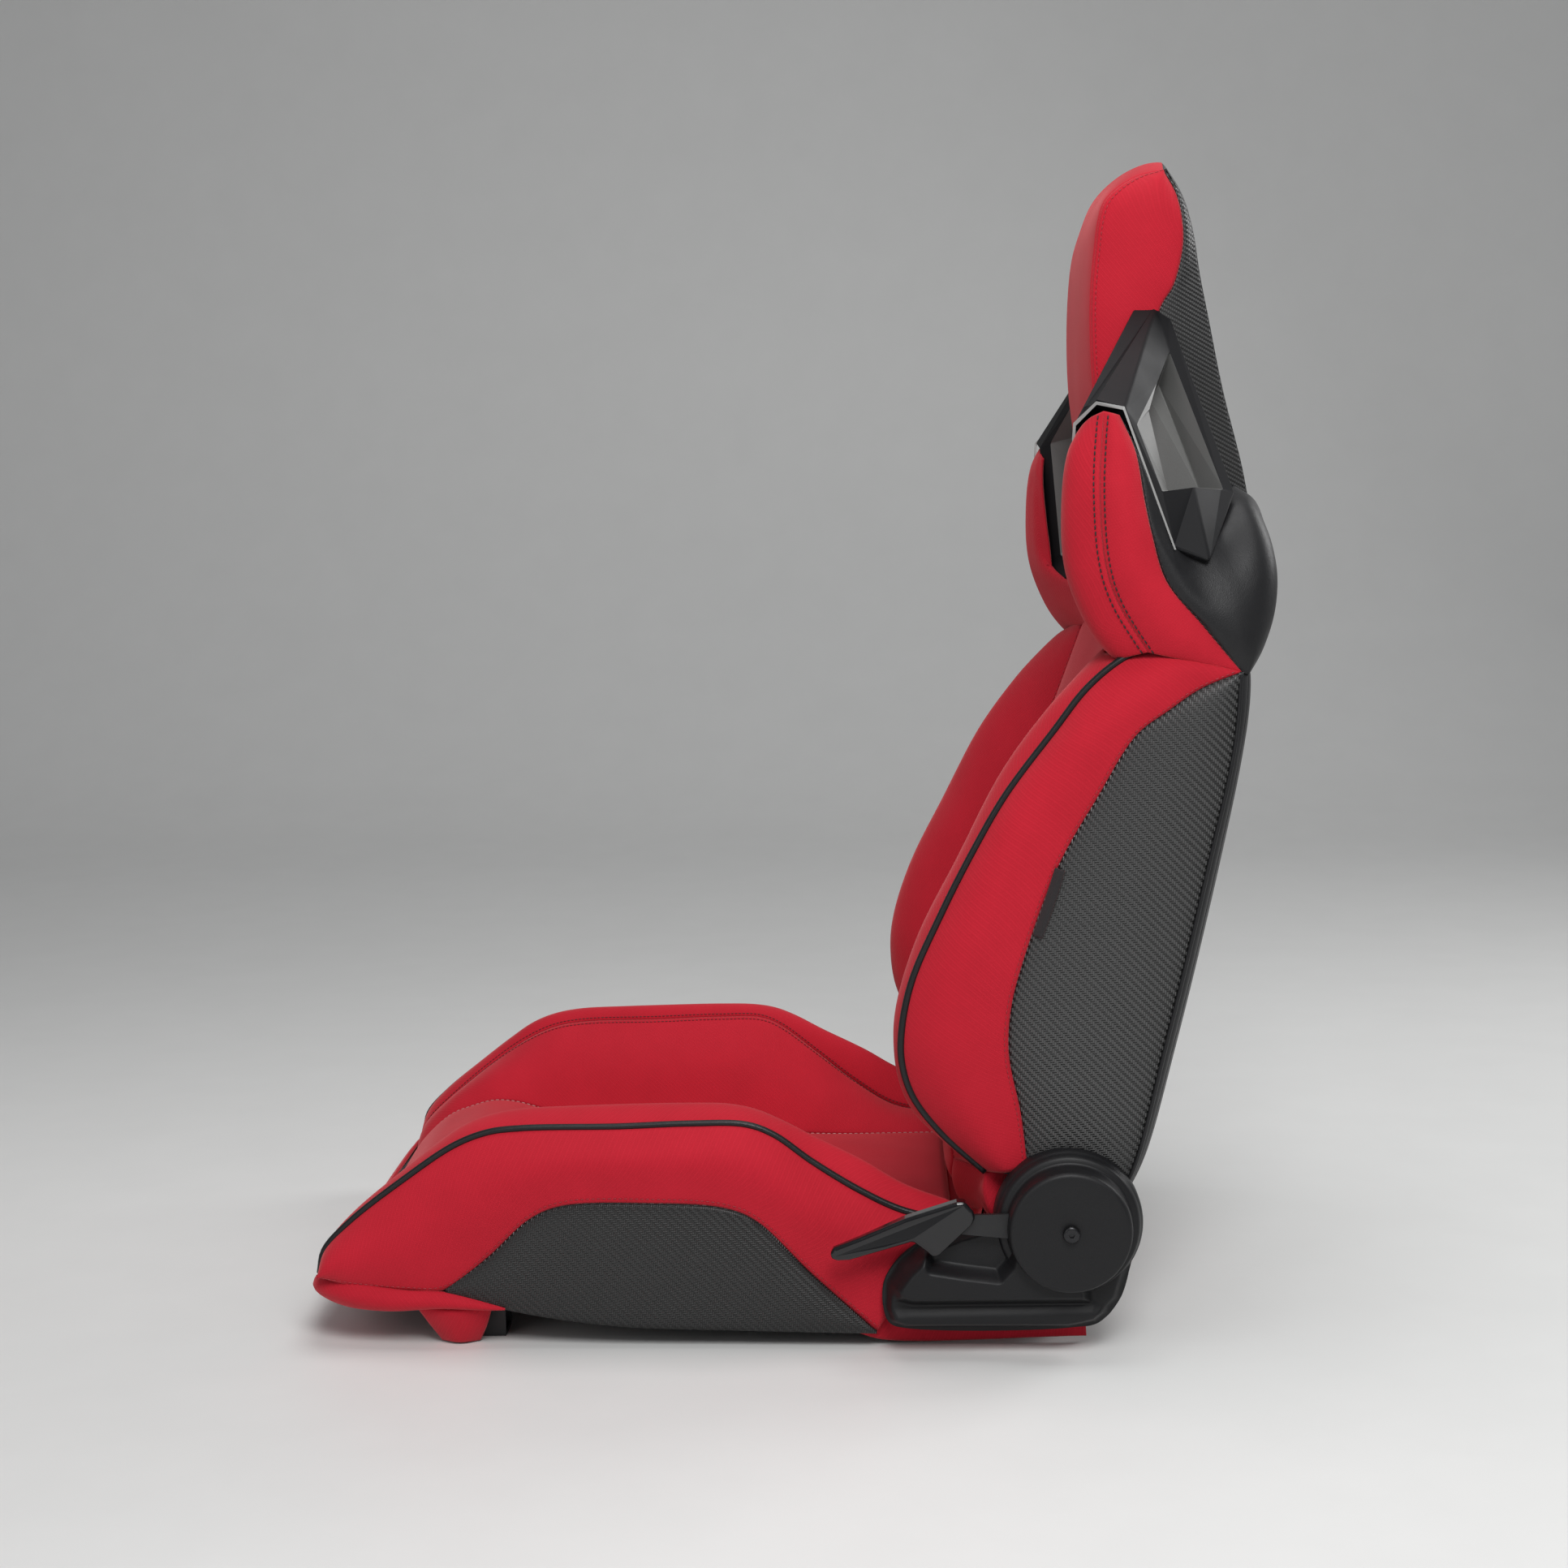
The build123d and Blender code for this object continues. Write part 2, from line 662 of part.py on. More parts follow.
with BuildPart() as release_rod:
    with BuildSketch(across(-ROD_END)):
        with Locations(PIVOT):
            Circle(ROD_RADIUS)
    extrude(amount=2 * ROD_END)
    with BuildSketch(across(ROD_END)):
        with Locations(PIVOT):
            Circle(SCREW_BORE)
    extrude(amount=-SCREW_GRIP - 1, mode=Mode.SUBTRACT)
    with BuildSketch(across(-ROD_END)):
        with Locations(PIVOT):
            Circle(SCREW_BORE)
    extrude(amount=SCREW_GRIP + 1, mode=Mode.SUBTRACT)
release_rod.part.label = "release_rod"
export_step(release_rod.part, "parts/release_rod.step")

with BuildPart() as cover_screws:
    with BuildSketch(across(ROD_END - SCREW_GRIP)):
        with Locations(PIVOT):
            Circle(SCREW_RADIUS)
    extrude(amount=SCREW_GRIP + COVER_FRONT - ROD_END + SCREW_HEAD_GAP)
    with BuildSketch(across(COVER_FRONT + SCREW_HEAD_GAP)):
        with Locations(PIVOT):
            Circle(SCREW_HEAD_RADIUS)
    extrude(amount=SCREW_HEAD_HEIGHT)
    fillet(cover_screws.edges().filter_by(GeomType.CIRCLE).sort_by(Axis.X)[-1], SCREW_HEAD_ROUND)
    with BuildSketch(across(COVER_FRONT + SCREW_HEAD_GAP + SCREW_HEAD_HEIGHT)):
        with Locations(PIVOT):
            RegularPolygon(SCREW_SOCKET, 6, major_radius=False)
    extrude(amount=-SCREW_SOCKET, mode=Mode.SUBTRACT)
    mirror(about=Plane.YZ)
cover_screws.part.label = "cover_screws"
export_step(cover_screws.part, "parts/cover_screws.step")

ROD_FIT = ROD_RADIUS + 0.05
LEVER_HUB_RADIUS = 12
LEVER_ARM_END = (205, 106)
LEVER_END_RADIUS = 7

with BuildPart() as lever_arm:
    with BuildSketch(across(LEVER_INSIDE)):
        with Locations(PIVOT):
            Circle(LEVER_HUB_RADIUS)
        with Locations(LEVER_ARM_END):
            Circle(LEVER_END_RADIUS)
        make_hull()
        with Locations(PIVOT):
            Circle(ROD_FIT, mode=Mode.SUBTRACT)
    extrude(amount=LEVER_THICKNESS)
lever_arm.part.label = "lever_arm"
export_step(lever_arm.part, "parts/lever_arm.step")

GRIP_INSIDE = 270
GRIP_WIDTH = 14
# side view of the grip: a flat paddle with a fin under its thick rear end
GRIP_LINE = [
    (108, 83),
    (114, 79),
    (124, 79),
    (172, 95),
    (187, 83),
    (212, 96),
    (226, 98),
    (224, 112),
    (213, 124),
    (175, 115),
    (112, 90),
]

with BuildPart() as lever_grip:
    with BuildSketch(across(GRIP_INSIDE)):
        with BuildLine():
            Polyline(*GRIP_LINE, close=True)
        make_face()
    extrude(amount=GRIP_WIDTH)
    add(lever_arm.part, mode=Mode.SUBTRACT)
lever_grip.part.label = "lever_grip"
export_step(lever_grip.part, "parts/lever_grip.step")

CAM_HUB_RADIUS = 8
CAM_LENGTH = 21.8
CAM_WIDTH = 3

with BuildPart() as left_release_cam:
    with BuildSketch(across(PAWL_INSIDE)):
        with Locations(PIVOT):
            Circle(CAM_HUB_RADIUS)
            Rectangle(CAM_LENGTH, CAM_WIDTH, rotation=CAM_REST_ANGLE)
            Circle(ROD_FIT, mode=Mode.SUBTRACT)
    extrude(amount=PAWL_THICKNESS)
left_release_cam.part.label = "left_release_cam"
export_step(left_release_cam.part, "parts/left_release_cam.step")

right_release_cam = other_side(left_release_cam.part)
right_release_cam.part.label = "right_release_cam"
export_step(right_release_cam.part, "parts/right_release_cam.step")


PAWL_SHOULDER = 25
PAWL_HEEL = 13.5
PAWL_TOE = 11
RAMP_START = -4.6
RAMP_END = 0.1


def pawl_outline():
    """Upper pawl seen from the side, about the hinge: teeth outwards, cam ramp inwards."""
    half = PAWL_WIDTH / 2
    half_pitch = 180 / GEAR_TEETH
    teeth = []
    for n in range(-5, 6):
        radius = PAWL_VALLEY if n % 2 == 0 else PAWL_TIP
        angle = radians(90 + n * half_pitch)
        teeth.append((radius * cos(angle), radius * sin(angle)))
    rear = [(half, PAWL_HEEL), (half, PAWL_SHOULDER)]
    front = [(-half, PAWL_SHOULDER), (-half, PAWL_TOE)]
    return rear + teeth + front + [(RAMP_START, PAWL_TOE), (RAMP_END, PAWL_HEEL)]


def pawl(turn):
    """One pawl on the left side, turned about the hinge: 1 is the upper one, -1 the lower."""
    outline = [(PIVOT_Y + turn * y, PIVOT_Z + turn * z) for y, z in pawl_outline()]
    return side_block(outline, PAWL_INSIDE, PAWL_THICKNESS)


left_upper_pawl = pawl(1)
left_upper_pawl.part.label = "left_upper_pawl"
export_step(left_upper_pawl.part, "parts/left_upper_pawl.step")

left_lower_pawl = pawl(-1)
left_lower_pawl.part.label = "left_lower_pawl"
export_step(left_lower_pawl.part, "parts/left_lower_pawl.step")

right_upper_pawl = other_side(left_upper_pawl.part)
right_upper_pawl.part.label = "right_upper_pawl"
export_step(right_upper_pawl.part, "parts/right_upper_pawl.step")

right_lower_pawl = other_side(left_lower_pawl.part)
right_lower_pawl.part.label = "right_lower_pawl"
export_step(right_lower_pawl.part, "parts/right_lower_pawl.step")

# ---------------------------------------------------------------------------
# backrest frame
# ---------------------------------------------------------------------------

lean = tan(radians(BACK_LEAN))


def tube_line_y(z):
    """Where the straight side tube's centre line is at height z."""
    return BACK_TUBE_Y + (z - BACK_TUBE_Z) * lean


ARM_BOLTS = [(tube_line_y(z), z) for z in (215, 275)]
ARM_HEIGHT = 290
ARM_TOP = (tube_line_y(ARM_HEIGHT) - 1, ARM_HEIGHT)
ARM_HUB_RADIUS = 36
ARM_TOP_RADIUS = 14
ARM_BOLT_HEAD = 4
PIVOT_BORE = 9

with BuildPart() as left_back_arm:
    with BuildSketch(across(ARM_INSIDE)):
        with Locations(PIVOT):
            Circle(ARM_HUB_RADIUS)
        with Locations(ARM_TOP):
            Circle(ARM_TOP_RADIUS)
        make_hull()
        with Locations(PIVOT):
            Circle(PIVOT_BORE, mode=Mode.SUBTRACT)
        with Locations(*ARM_BOLTS):
            Circle(M8_CLEARANCE, mode=Mode.SUBTRACT)
    extrude(amount=ARM_THICKNESS)
left_back_arm.part.label = "left_back_arm"
export_step(left_back_arm.part, "parts/left_back_arm.step")

right_back_arm = other_side(left_back_arm.part)
right_back_arm.part.label = "right_back_arm"
export_step(right_back_arm.part, "parts/right_back_arm.step")


def gear_points():
    """Tips and roots of the inward teeth, about the hinge."""
    half_pitch = pi / GEAR_TEETH
    points = []
    for n in range(2 * GEAR_TEETH):
        radius = GEAR_TIP if n % 2 == 0 else GEAR_ROOT
        points.append((radius * cos(n * half_pitch), radius * sin(n * half_pitch)))
    return points


with BuildPart() as left_ring_gear:
    with BuildSketch(across(GEAR_INSIDE)):
        with Locations(PIVOT):
            Circle(GEAR_RADIUS)
            Polygon(*gear_points(), align=None, mode=Mode.SUBTRACT)
    extrude(amount=GEAR_WIDTH)
left_ring_gear.part.label = "left_ring_gear"
export_step(left_ring_gear.part, "parts/left_ring_gear.step")

right_ring_gear = other_side(left_ring_gear.part)
right_ring_gear.part.label = "right_ring_gear"
export_step(right_ring_gear.part, "parts/right_ring_gear.step")

# one bent tube: up both sides, in under the shoulders and over the headrest
TUBE_BEND = 35
LEFT_TUBE_CORNERS = [
    (BACK_TUBE_X, tube_line_y(150), 150),
    (BACK_TUBE_X, tube_line_y(505), 505),
    (100, 416, 590),
    (78, 408, 690),
    (78, 367, 878),
]
TUBE_CORNERS = LEFT_TUBE_CORNERS + [(-x, y, z) for x, y, z in reversed(LEFT_TUBE_CORNERS)]


def back_tube(radius):
    """A filled tube along the whole bent frame."""
    with BuildPart() as tube:
        with BuildLine() as path:
            FilletPolyline(*TUBE_CORNERS, radius=TUBE_BEND)
        with BuildSketch(Plane(origin=path.line @ 0, z_dir=path.line % 0)):
            Circle(radius)
        sweep(path=path.line)
    return tube


tube_envelope = back_tube(TUBE_RADIUS)
tube_inside = back_tube(TUBE_RADIUS - TUBE_WALL)
tube_in_foam = back_tube(TUBE_RADIUS + WIRE_GAP)

with BuildPart() as back_frame_tube:
    add(tube_envelope.part)
    add(tube_inside.part, mode=Mode.SUBTRACT)
    with BuildSketch(across(BACK_TUBE_X - 2 * TUBE_RADIUS)):
        with Locations(*ARM_BOLTS):
            Circle(M8_CLEARANCE)
    extrude(amount=4 * TUBE_RADIUS, mode=Mode.SUBTRACT)
    with BuildSketch(across(-BACK_TUBE_X - 2 * TUBE_RADIUS)):
        with Locations(*ARM_BOLTS):
            Circle(M8_CLEARANCE)
    extrude(amount=4 * TUBE_RADIUS, mode=Mode.SUBTRACT)
back_frame_tube.part.label = "back_frame_tube"
export_step(back_frame_tube.part, "parts/back_frame_tube.step")


def back_cross_bar(height):
    """Bar between the side tubes, its ends shaped to them, at a height up the leaning frame."""
    with BuildPart() as bar:
        with Locations(BACK_PLANE.location * Pos(0, height, 0) * Rot(0, 90, 0)):
            Cylinder(BAR_RADIUS, 2 * BACK_TUBE_X)
        add(tube_envelope.part, mode=Mode.SUBTRACT)
    return bar


lower_back_bar = back_cross_bar(LOWER_BAR)
lower_back_bar.part.label = "lower_back_bar"
export_step(lower_back_bar.part, "parts/lower_back_bar.step")

upper_back_bar = back_cross_bar(UPPER_BAR)
upper_back_bar.part.label = "upper_back_bar"
export_step(upper_back_bar.part, "parts/upper_back_bar.step")

with BuildPart() as back_arm_bolts:
    with BuildSketch(across(BACK_TUBE_X - TUBE_RADIUS - M8_NUT_HEIGHT)):
        with Locations(*ARM_BOLTS):
            Circle(M8_RADIUS)
    extrude(amount=GEAR_INSIDE - BACK_TUBE_X + TUBE_RADIUS + M8_NUT_HEIGHT)
    with BuildSketch(across(GEAR_INSIDE)):
        with Locations(*ARM_BOLTS):
            Circle(M8_FLATS / 2)
    extrude(amount=ARM_BOLT_HEAD)
    mirror(about=Plane.YZ)
back_arm_bolts.part.label = "back_arm_bolts"
export_step(back_arm_bolts.part, "parts/back_arm_bolts.step")

with BuildPart() as back_arm_nuts:
    with BuildSketch(across(BACK_TUBE_X - TUBE_RADIUS - M8_NUT_HEIGHT)):
        with Locations(*ARM_BOLTS):
            RegularPolygon(M8_FLATS / 2, 6, major_radius=False)
            Circle(M8_NUT_BORE, mode=Mode.SUBTRACT)
    extrude(amount=M8_NUT_HEIGHT)
    mirror(about=Plane.YZ)
back_arm_nuts.part.label = "back_arm_nuts"
export_step(back_arm_nuts.part, "parts/back_arm_nuts.step")

one_back_spring = sinuous_spring(
    BACK_PLANE.offset(BAR_RADIUS + WIRE_RADIUS + WIRE_GAP),
    LOWER_BAR - SPRING_END, UPPER_BAR + SPRING_END, strokes=11,
)
with BuildPart() as back_springs:
    with GridLocations(SPRING_SPACING, 0, 4, 1):
        add(one_back_spring.part)
back_springs.part.label = "back_springs"
export_step(back_springs.part, "parts/back_springs.step")

BACK_SPRING_COLUMNS = [n * SPRING_SPACING / 2 for n in (-3, -1, 1, 3)]
back_spring_clips = spring_clips_on(
    BACK_PLANE, (LOWER_BAR, UPPER_BAR), BACK_SPRING_COLUMNS, BAR_RADIUS
)
back_spring_clips.part.label = "back_spring_clips"
export_step(back_spring_clips.part, "parts/back_spring_clips.step")

# ---------------------------------------------------------------------------
# backrest padding
# ---------------------------------------------------------------------------

FOAM_BACK = 14
WING_BOTTOM = 540
HEADREST_BOTTOM = 562
PAD_GAP = 1
# the centre pad's upper corners are cut away to make room for the shoulder wings
CORNER_CUT = 100
CORNER_X = WING_INNER - PAD_GAP + CORNER_CUT / 2


def foam_back_y(z):
    """Where the foam rests on the springs at height z."""
    return tube_line_y(z) - FOAM_BACK / cos(radians(BACK_LEAN))


BACK_CENTRE_LINE = [
    (foam_back_y(140), 140),
    (252, 128),
    (240, 102),
    (232, 79),
    (212, 84),
    (206, 118),
    (207, 180),
    (219, 240),
    (243, 320),
    (276, 400),
    (306, 462),
    (330, 522),
    (338, HEADREST_BOTTOM - PAD_GAP),
    (foam_back_y(HEADREST_BOTTOM - PAD_GAP), HEADREST_BOTTOM - PAD_GAP),
]
with BuildPart() as back_centre_pad:
    with BuildSketch(across(-BACK_HALF)):
        with BuildLine():
            Polyline(*BACK_CENTRE_LINE, close=True)
        make_face()
    extrude(amount=2 * BACK_HALF)
    with Locations((CORNER_X, 0, WING_BOTTOM - PAD_GAP), (-CORNER_X, 0, WING_BOTTOM - PAD_GAP)):
        Box(CORNER_CUT, THROUGH_SEAT, CORNER_CUT, align=ON_FLOOR, mode=Mode.SUBTRACT)
    add(tube_in_foam.part, mode=Mode.SUBTRACT)
back_centre_pad.part.label = "back_centre_pad"
export_step(back_centre_pad.part, "parts/back_centre_pad.step")

# side view of the back bolster: its front edge from the shoulder down, then its rear edge
BOLSTER_FRONT_LINE = [
    (353, 538),
    (307, 508),
    (246, 428),
    (196, 336),
    (168, 262),
    (166, 221),
    (174, 195),
    (195, 167),
    (229, 138),
]
BOLSTER_REAR_LINE = [(336, 122), (364, 235), (397, 377), (416, 475), (424, 538)]
# room behind the foam for the side tube and the arm
BOLSTER_POCKET_LINE = [(250, 100), (336, 302), (385, 545), (480, 545), (480, 100)]
POCKET_OUTER = 243

with BuildPart() as left_back_bolster:
    with BuildSketch(across(BACK_BOLSTER_INNER)):
        with BuildLine():
            front = Spline(*BOLSTER_FRONT_LINE)
            rear = Polyline(*BOLSTER_REAR_LINE)
            Line(front @ 1, rear @ 0)
            Line(rear @ 1, front @ 0)
        make_face()
        with Locations(PIVOT):
            Circle(RECLINER_ROOM, mode=Mode.SUBTRACT)
    extrude(amount=BACK_BOLSTER_OUTER - BACK_BOLSTER_INNER)
    with BuildSketch(across(BACK_BOLSTER_INNER)):
        with BuildLine():
            Polyline(*BOLSTER_POCKET_LINE, close=True)
        make_face()
    extrude(amount=POCKET_OUTER - BACK_BOLSTER_INNER, mode=Mode.SUBTRACT)
    add(tube_in_foam.part, mode=Mode.SUBTRACT)
left_back_bolster.part.label = "left_back_bolster"
export_step(left_back_bolster.part, "parts/left_back_bolster.step")

right_back_bolster = other_side(left_back_bolster.part)
right_back_bolster.part.label = "right_back_bolster"
export_step(right_back_bolster.part, "parts/right_back_bolster.step")

# harness openings beside the headrest: each has a moulded ring round it
RING_TOP = (129, 367, 782)
RING_TIP = (230, 318, 712)
RING_FOOT = (243, 388, 612)
RING_BACK = (132, 424, 658)
RING_RADIUS = 9
RING_BEND = 14


def harness_ring(radius):
    """A filled ring round the left opening, swept in two halves that meet in mid-side."""
    lower_mid = (Vector(*RING_FOOT) + Vector(*RING_BACK)) / 2
    upper_mid = (Vector(*RING_TOP) + Vector(*RING_TIP)) / 2
    with BuildPart() as ring:
        for corners in ((RING_TIP, RING_FOOT), (RING_TOP, RING_BACK)):
            with BuildLine() as path:
                FilletPolyline(upper_mid, *corners, lower_mid, radius=RING_BEND)
            with BuildSketch(Plane(origin=path.line @ 0, z_dir=path.line % 0)):
                Circle(radius)
            sweep(path=path.line)
    return ring


left_harness_ring = harness_ring(RING_RADIUS)
left_harness_ring.part.label = "left_harness_ring"
export_step(left_harness_ring.part, "parts/left_harness_ring.step")

right_harness_ring = other_side(left_harness_ring.part)
right_harness_ring.part.label = "right_harness_ring"
export_step(right_harness_ring.part, "parts/right_harness_ring.step")

ring_recess = harness_ring(RING_RADIUS + WIRE_GAP)

# side view of the shoulder wing: its front edge down, its rear edge up, then the sill between
WING_FRONT_LINE = [(316, 710), (296, 687), (287, 645), (287, 609), (296, 580), (322, WING_BOTTOM)]
WING_REAR_LINE = [(437, WING_BOTTOM), (446, 562), (448, 590), (438, 625), (428, 640)]
WING_SILL_LINE = [(408, 636), (396, 604), (366, 615), (334, 708)]
# seen from the front, the sill slopes down inwards below this corner
SILL_SLOPE = [(WING_INNER - 5, 646), (WING_OUTER, 718), (WING_INNER - 5, 760)]

with BuildPart() as left_shoulder_wing:
    with BuildSketch(across(WING_INNER)):
        with BuildLine():
            front = Spline(*WING_FRONT_LINE)
            rear = Spline(*WING_REAR_LINE)
            sill = Polyline(*WING_SILL_LINE)
            Line(front @ 1, rear @ 0)
            Line(rear @ 1, sill @ 0)
            Line(sill @ 1, front @ 0)
        make_face()
    extrude(amount=WING_OUTER - WING_INNER)
    with BuildSketch(facing(BEHIND_SEAT)):
        with BuildLine():
            Polyline(*SILL_SLOPE, close=True)
        make_face()
    extrude(amount=THROUGH_SEAT, mode=Mode.SUBTRACT)
    add(ring_recess.part, mode=Mode.SUBTRACT)
    add(tube_in_foam.part, mode=Mode.SUBTRACT)
left_shoulder_wing.part.label = "left_shoulder_wing"
export_step(left_shoulder_wing.part, "parts/left_shoulder_wing.step")

right_shoulder_wing = other_side(left_shoulder_wing.part)
right_shoulder_wing.part.label = "right_shoulder_wing"
export_step(right_shoulder_wing.part, "parts/right_shoulder_wing.step")

# side view of the headrest: its front edge up to the crown, then the edge of its rear panel
HEADREST_TOP = 927
HEADREST_FRONT_LINE = [
    (338, HEADREST_BOTTOM),
    (334, 650),
    (323, 760),
    (326, 832),
    (338, 878),
    (382, HEADREST_TOP),
]
HEADREST_REAR_LINE = [(389, 918), (396, 860), (420, 745), (440, 650), (444, HEADREST_BOTTOM)]
REAR_PANEL = 5
HEADREST_LEFT_VIEW = [
    (HEADREST_HALF, HEADREST_BOTTOM),
    (HEADREST_HALF, 875),
    (99, 908),
    (60, 919),
    (0, HEADREST_TOP),
]
HEADREST_FRONT_VIEW = HEADREST_LEFT_VIEW + [(-x, z) for x, z in reversed(HEADREST_LEFT_VIEW[:-1])]


def headrest_slab(rear_shift):
    """Headrest form in both views, with its rear edge moved forwards by rear_shift."""
    with BuildPart() as slab:
        with BuildSketch(across(-HEADREST_HALF)):
            with BuildLine():
                front = Spline(*HEADREST_FRONT_LINE)
                rear = Polyline(*[(y - rear_shift, z) for y, z in HEADREST_REAR_LINE])
                Line(front @ 1, rear @ 0)
                Line(rear @ 1, front @ 0)
            make_face()
        extrude(amount=2 * HEADREST_HALF)
        with BuildSketch(facing(BEHIND_SEAT)):
            with BuildLine():
                Polyline(*HEADREST_FRONT_VIEW, close=True)
            make_face()
        extrude(amount=THROUGH_SEAT, mode=Mode.INTERSECT)
    return slab


headrest_form = headrest_slab(rear_shift=0)
headrest_core = headrest_slab(rear_shift=REAR_PANEL)

with BuildPart() as headrest_pad:
    add(headrest_core.part)
    add(tube_in_foam.part, mode=Mode.SUBTRACT)
headrest_pad.part.label = "headrest_pad"
export_step(headrest_pad.part, "parts/headrest_pad.step")

with BuildPart() as headrest_rear_panel:
    add(headrest_form.part)
    add(headrest_core.part, mode=Mode.SUBTRACT)
headrest_rear_panel.part.label = "headrest_rear_panel"
export_step(headrest_rear_panel.part, "parts/headrest_rear_panel.step")

PANEL_HALF = 242
PANEL_BOTTOM = -158
PANEL_TOP = 236
PANEL_GAP = 4
PANEL_THICKNESS = 3

with BuildPart() as back_rear_panel:
    with BuildSketch(BACK_PLANE.offset(-TUBE_RADIUS - PANEL_GAP)):
        with Locations((0, PANEL_BOTTOM)):
            Rectangle(2 * PANEL_HALF, PANEL_TOP - PANEL_BOTTOM, align=(Align.CENTER, Align.MIN))
    extrude(amount=-PANEL_THICKNESS)
back_rear_panel.part.label = "back_rear_panel"
export_step(back_rear_panel.part, "parts/back_rear_panel.step")

# a plain woven tag sewn into the seam at the edge of the left side panel
TAG_LINE = [(282, 374), (287, 371), (271, 320), (264, 324)]
TAG_THICKNESS = 1.2
seam_tag = side_block(TAG_LINE, BACK_BOLSTER_OUTER, TAG_THICKNESS)
seam_tag.part.label = "seam_tag"
export_step(seam_tag.part, "parts/seam_tag.step")
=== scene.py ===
import json
import math

import bpy
import numpy as np
from mathutils import Matrix, Vector


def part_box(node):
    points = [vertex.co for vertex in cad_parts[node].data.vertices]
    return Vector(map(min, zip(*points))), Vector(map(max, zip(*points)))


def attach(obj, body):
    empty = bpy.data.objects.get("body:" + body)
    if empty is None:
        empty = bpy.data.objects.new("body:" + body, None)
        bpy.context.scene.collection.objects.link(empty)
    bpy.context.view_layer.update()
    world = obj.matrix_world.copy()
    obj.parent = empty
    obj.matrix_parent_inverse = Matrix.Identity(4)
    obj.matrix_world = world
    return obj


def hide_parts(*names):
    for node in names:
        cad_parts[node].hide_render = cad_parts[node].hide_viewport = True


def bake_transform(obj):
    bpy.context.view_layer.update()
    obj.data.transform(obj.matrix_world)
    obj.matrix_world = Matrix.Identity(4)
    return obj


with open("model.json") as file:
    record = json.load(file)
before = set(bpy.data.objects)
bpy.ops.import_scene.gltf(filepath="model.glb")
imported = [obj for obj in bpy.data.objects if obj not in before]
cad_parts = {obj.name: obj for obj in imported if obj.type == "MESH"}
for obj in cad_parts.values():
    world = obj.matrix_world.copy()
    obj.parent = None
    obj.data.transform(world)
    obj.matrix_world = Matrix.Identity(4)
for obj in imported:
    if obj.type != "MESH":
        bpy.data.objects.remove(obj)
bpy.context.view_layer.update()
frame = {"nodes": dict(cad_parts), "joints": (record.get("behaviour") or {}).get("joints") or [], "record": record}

# Lengths are in millimetres until a mesh is made. x is the sitter's left, y rearwards and z up.
METRE = 1000.0
RECLINE = next(joint for joint in frame["joints"] if joint["name"] == "recline")
PIVOT_Y, PIVOT_Z = (value * METRE for value in RECLINE["pos_m"][1:])
COVER_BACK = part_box("left_recliner_bracket")[1][0] * METRE
SEAM_STEPS = 120
STEPS_PER_POINT = 12
TINY = 1e-9
BASE, BACK, LEVER = "seat_base", "backrest", "release_lever"

# how a sewn panel rises between its seams
SEAM_ROLL = 7.0
CROWN_FULLNESS = 0.8
END_SHARE = 0.12
CLOTH_THICKNESS = 2.5
ALL_SEWN = (True, True, True, True)
LAST_COLUMN_FREE = (True, True, True, False)
FIRST_COLUMN_FREE = (True, True, False, True)

# the cloth simulation of a panel over foam
CLOTH_FRAMES = 14
CLOTH_QUALITY = 6
CLOTH_MASS = 0.15
CLOTH_STIFFNESS = 20
CLOTH_BENDING = 6.0
CLOTH_CAP = 6.0
SMOOTHING_ROUNDS = 30

# a stitch is a short bulging strand; a stray direction keeps its cross section from collapsing
STITCH_SIDES = 5
STITCH_STATIONS = (0, 0.2, 0.8, 1)
STITCH_WIDTHS = (0.35, 1, 1, 0.35)
STITCH_RADIUS = 0.42
STRAY = (0.3, 0.5, 0.8)
CORD_STRAY = (0.31, 0.52, 0.79)

# ---- curves and surfaces ----


def lengths(points):
    """Distance travelled along the first axis, averaged over the other rows."""
    step = np.linalg.norm(np.diff(points, axis=0), axis=-1).reshape(len(points) - 1, -1).mean(axis=1)
    return np.concatenate([[0], np.cumsum(step)])


def smooth(points, count):
    """Smooth curve, or surface of curves, through points along their first axis in count equal steps."""
    points = np.asarray(points, float)
    flat = points.reshape(len(points), -1)
    knots = np.concatenate([[0], np.cumsum(np.sqrt(np.diff(lengths(points))))])
    slopes = np.gradient(flat, knots, axis=0)
    t = np.linspace(0, knots[-1], STEPS_PER_POINT * len(points))
    i = np.clip(np.searchsorted(knots, t, side="right") - 1, 0, len(knots) - 2)
    h = (knots[i + 1] - knots[i])[:, None]
    s = (t[:, None] - knots[i][:, None]) / h
    dense = (
        (2 * s**3 - 3 * s**2 + 1) * flat[i]
        + (s**3 - 2 * s**2 + s) * h * slopes[i]
        + (3 * s**2 - 2 * s**3) * flat[i + 1]
        + (s**3 - s**2) * h * slopes[i + 1]
    ).reshape(len(t), *points.shape[1:])
    travelled = lengths(dense)
    wanted = np.linspace(0, travelled[-1], count)
    columns = dense.reshape(len(t), -1).T
    evenly = np.stack([np.interp(wanted, travelled, column) for column in columns], axis=1)
    return evenly.reshape(count, *points.shape[1:])


def seam(x, outline, count=SEAM_STEPS):
    """Seam through side-view points (y, z). x is one value, or values spread over the seam's points."""
    xs = np.atleast_1d(np.asarray(x, float))
    xs = np.interp(np.linspace(0, 1, len(outline)), np.linspace(0, 1, len(xs)), xs)
    return smooth([(px, y, z) for px, (y, z) in zip(xs, outline)], count)


def between(a, b, share, push=(0, 0, 0)):
    """Row between two seams, pushed aside."""
    return (1 - share) * a + share * b + np.asarray(push, float)


def bowed(a, b, share=0.5, push=(0, 0, 0)):
    """The rows of a panel between two seams, with a middle row that is pushed aside."""
    return [a, between(a, b, share, push), b]


